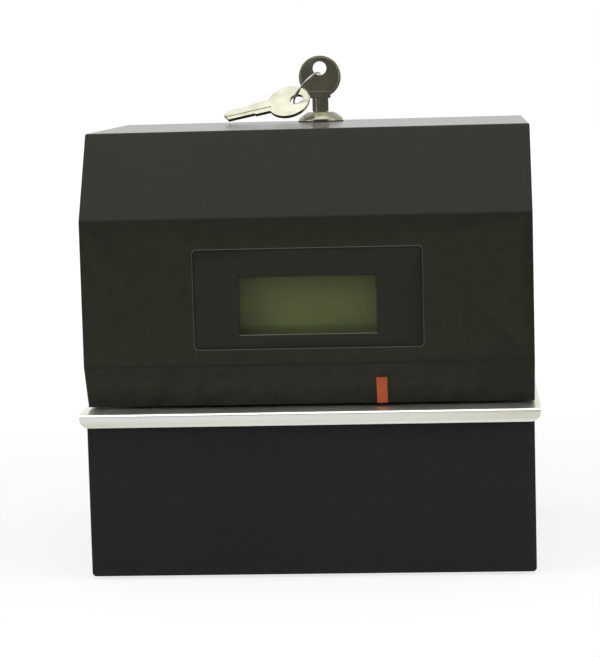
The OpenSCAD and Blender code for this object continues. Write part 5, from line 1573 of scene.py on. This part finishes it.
@dataclass
class Studio:
    """The photograph's camera, a white sweep and plain soft light.

    Attributes:
        eye: the camera's place, in millimetres.
        yaw: its turn to the left, in degrees.
        pitch: its tilt downwards, in degrees.
        roll: its turn about its own axis, in degrees.
        focal: the focal length, in pixels of the photograph.
        long_side: the photograph's long side, in pixels.
        sensor: the sensor's long side, in millimetres.
        ambient: the world's strength for diffuse light.
        floor_reach: how far the floor reaches each way, in metres.
        floor_tone: the floor's colour.
        glow: the floor's own brightness where it is looked at.
        glow_share: how much of that shows next to the machine, and far off.
        fade: how far off the floor starts to turn white, and where it is white, in metres.
        drape_line: the drape's distance and height, from its hem to its top, in metres.
        drape_arc: how far round the machine it reaches, in degrees.
        drape_steps: its facets.
        drape_tone: how bright it looks.
        aim: the point that the soft boxes face, in metres.
        lamps: the soft boxes.
    """

    eye: tuple[float, float, float] = (75.7, -1209.9, 250.1)
    yaw: float = -4.027
    pitch: float = 6.523
    roll: float = 1.530
    focal: float = 2363.0
    long_side: float = 657.0
    sensor: float = 36.0
    ambient: float = 0.4
    floor_reach: float = 6.0
    floor_tone: Colour = (0.86, 0.86, 0.86)
    glow: float = 1.11
    glow_share: Span = (0.7, 1.0)
    fade: Span = (0.3, 1.1)
    drape_line: tuple[Span, ...] = ((0.95, 0.004), (1.7, 0.004), (1.95, 0.05), (2.1, 0.25),
                                    (2.1, 1.1))
    drape_arc: float = 130.0
    drape_steps: int = 24
    drape_tone: Colour = (0.1, 0.098, 0.09)
    aim: Point = (0.0, 0.0, 0.12)
    lamps: tuple[Lamp, ...] = (
        Lamp("overhead_box", (0.0, -0.35, 1.5), 1.6, 11.0),
        Lamp("left_box", (-1.3, -0.9, 0.7), 1.0, 5.5),
        Lamp("right_box", (1.4, -0.7, 0.7), 1.0, 5.5),
    )

    def camera(self) -> None:
        """Sets up the camera as it stood for the photograph."""
        data = bpy.data.cameras.new("camera")
        data.sensor_width = self.sensor
        data.lens = self.focal * data.sensor_width / self.long_side
        camera = bpy.data.objects.new("camera", data)
        yaw, pitch, roll = (math.radians(v) for v in (self.yaw, self.pitch, self.roll))
        ahead = Vector((math.sin(yaw) * math.cos(pitch), math.cos(yaw) * math.cos(pitch),
                        -math.sin(pitch)))
        right = Vector((math.cos(yaw), -math.sin(yaw), 0.0))
        up = right.cross(ahead)
        level = Matrix((right, up, -ahead)).transposed()
        camera.matrix_world = (Matrix.Translation(Vector(self.eye) * MM)
                               @ level.to_4x4() @ Matrix.Rotation(-roll, 4, "Z"))
        bpy.context.scene.collection.objects.link(camera)
        bpy.context.scene.camera = camera

    @staticmethod
    def seen(nodes: bpy.types.Nodes, links: bpy.types.NodeLinks) -> Socket:
        """Tells rays that look, glance or pass through from diffuse ones.

        Args:
            nodes: the tree's nodes.
            links: the tree's links.

        Returns:
            The value socket, 1 for the former and 0 for the latter.
        """
        path = nodes.new("ShaderNodeLightPath")
        either = nodes.new("ShaderNodeMath")
        either.operation = Op.MAXIMUM.value
        any_of = nodes.new("ShaderNodeMath")
        any_of.operation = Op.MAXIMUM.value
        links.new(path.outputs["Is Camera Ray"], either.inputs[0])
        links.new(path.outputs["Is Glossy Ray"], either.inputs[1])
        links.new(either.outputs[0], any_of.inputs[0])
        links.new(path.outputs["Is Transmission Ray"], any_of.inputs[1])
        return any_of.outputs[0]

    def world(self) -> None:
        """A plain white surround, at full strength only where it is looked at."""
        world = bpy.data.worlds.new("surround")
        bpy.context.scene.world = world
        world.use_nodes = True
        nodes, links = world.node_tree.nodes, world.node_tree.links
        nodes.clear()
        back = nodes.new("ShaderNodeBackground")
        back.inputs["Color"].default_value = (1.0, 1.0, 1.0, 1.0)
        out = nodes.new("ShaderNodeOutputWorld")
        strength = nodes.new("ShaderNodeMapRange")
        strength.inputs["To Min"].default_value = self.ambient
        strength.inputs["To Max"].default_value = 1.0
        links.new(self.seen(nodes, links), strength.inputs["Value"])
        links.new(strength.outputs["Result"], back.inputs["Strength"])
        links.new(back.outputs[0], out.inputs[0])

    def floor(self) -> None:
        """A pale floor that keeps a soft shadow near the machine and turns white farther off."""
        bm = bmesh.new()
        bmesh.ops.create_grid(bm, x_segments=1, y_segments=1, size=self.floor_reach)
        material = bpy.data.materials.new("pale_floor")
        material.use_nodes = True
        nodes, links = material.node_tree.nodes, material.node_tree.links
        nodes.clear()
        matt = nodes.new("ShaderNodeBsdfDiffuse")
        matt.inputs["Color"].default_value = (*self.floor_tone, 1.0)
        glow = nodes.new("ShaderNodeEmission")
        blend = nodes.new("ShaderNodeMixShader")
        out = nodes.new("ShaderNodeOutputMaterial")
        geometry = nodes.new("ShaderNodeNewGeometry")
        away = nodes.new("ShaderNodeVectorMath")
        away.operation = "LENGTH"
        links.new(geometry.outputs["Position"], away.inputs[0])
        fade = nodes.new("ShaderNodeMapRange")
        for name, number in zip(("From Min", "From Max", "To Min", "To Max"),
                                (*self.fade, *self.glow_share)):
            fade.inputs[name].default_value = number
        links.new(away.outputs["Value"], fade.inputs["Value"])
        share = nodes.new("ShaderNodeMath")
        share.operation = Op.MULTIPLY.value
        links.new(self.seen(nodes, links), share.inputs[0])
        links.new(fade.outputs["Result"], share.inputs[1])
        links.new(share.outputs[0], blend.inputs[0])
        links.new(matt.outputs[0], blend.inputs[1])
        links.new(glow.outputs[0], blend.inputs[2])
        links.new(blend.outputs[0], out.inputs[0])
        glow.inputs["Strength"].default_value = self.glow
        self.stand("floor", bm, material)

    def drape(self) -> None:
        """A dark drape in front of the machine, which only polished and painted faces mirror."""
        bm = bmesh.new()
        verts = [bm.verts.new((radius, 0.0, height)) for radius, height in self.drape_line]
        edges = [bm.edges.new(pair) for pair in zip(verts, verts[1:])]
        turn = Matrix.Rotation(math.radians(-90 - self.drape_arc / 2), 3, "Z")
        bmesh.ops.rotate(bm, cent=(0, 0, 0), matrix=turn, verts=verts)
        bmesh.ops.spin(bm, geom=verts + edges, cent=(0, 0, 0), axis=(0, 0, 1), dvec=(0, 0, 0),
                       angle=math.radians(self.drape_arc), steps=self.drape_steps, use_merge=False,
                       use_duplicate=False)
        material = bpy.data.materials.new("dark_drape")
        material.use_nodes = True
        nodes, links = material.node_tree.nodes, material.node_tree.links
        nodes.clear()
        cloth = nodes.new("ShaderNodeEmission")
        cloth.inputs["Color"].default_value = (*self.drape_tone, 1.0)
        out = nodes.new("ShaderNodeOutputMaterial")
        links.new(cloth.outputs[0], out.inputs[0])
        obj = self.stand("drape", bm, material)
        obj.visible_camera = obj.visible_diffuse = False
        obj.visible_shadow = obj.visible_volume_scatter = False

    @staticmethod
    def stand(name: str, bm: bmesh.types.BMesh, material: bpy.types.Material) -> bpy.types.Object:
        """Puts a piece of the studio on the stage.

        Args:
            name: its name.
            bm: its mesh, which is freed.
            material: its material.

        Returns:
            The new object.
        """
        mesh = bpy.data.meshes.new(name)
        bm.to_mesh(mesh)
        bm.free()
        mesh.materials.append(material)
        obj = bpy.data.objects.new(name, mesh)
        bpy.context.scene.collection.objects.link(obj)
        return obj

    def build(self) -> None:
        """Sets up the studio."""
        self.camera()
        self.world()
        self.floor()
        self.drape()
        for lamp in self.lamps:
            lamp.build(Vector(self.aim))
        bpy.context.scene.view_settings.view_transform = "Standard"


def main() -> None:
    """Builds the studio and every sub-assembly in order."""
    logging.basicConfig(level=logging.INFO, format="%(name)s: %(message)s")
    for part in (Studio(), Cover(), Display(), Pointer(), CardTable(), BaseCase(), Lock(),
                 Keys(), Insides()):
        part.build()
        LOG.info("%s is built", type(part).__name__)


if __name__ == "__main__":
    main()
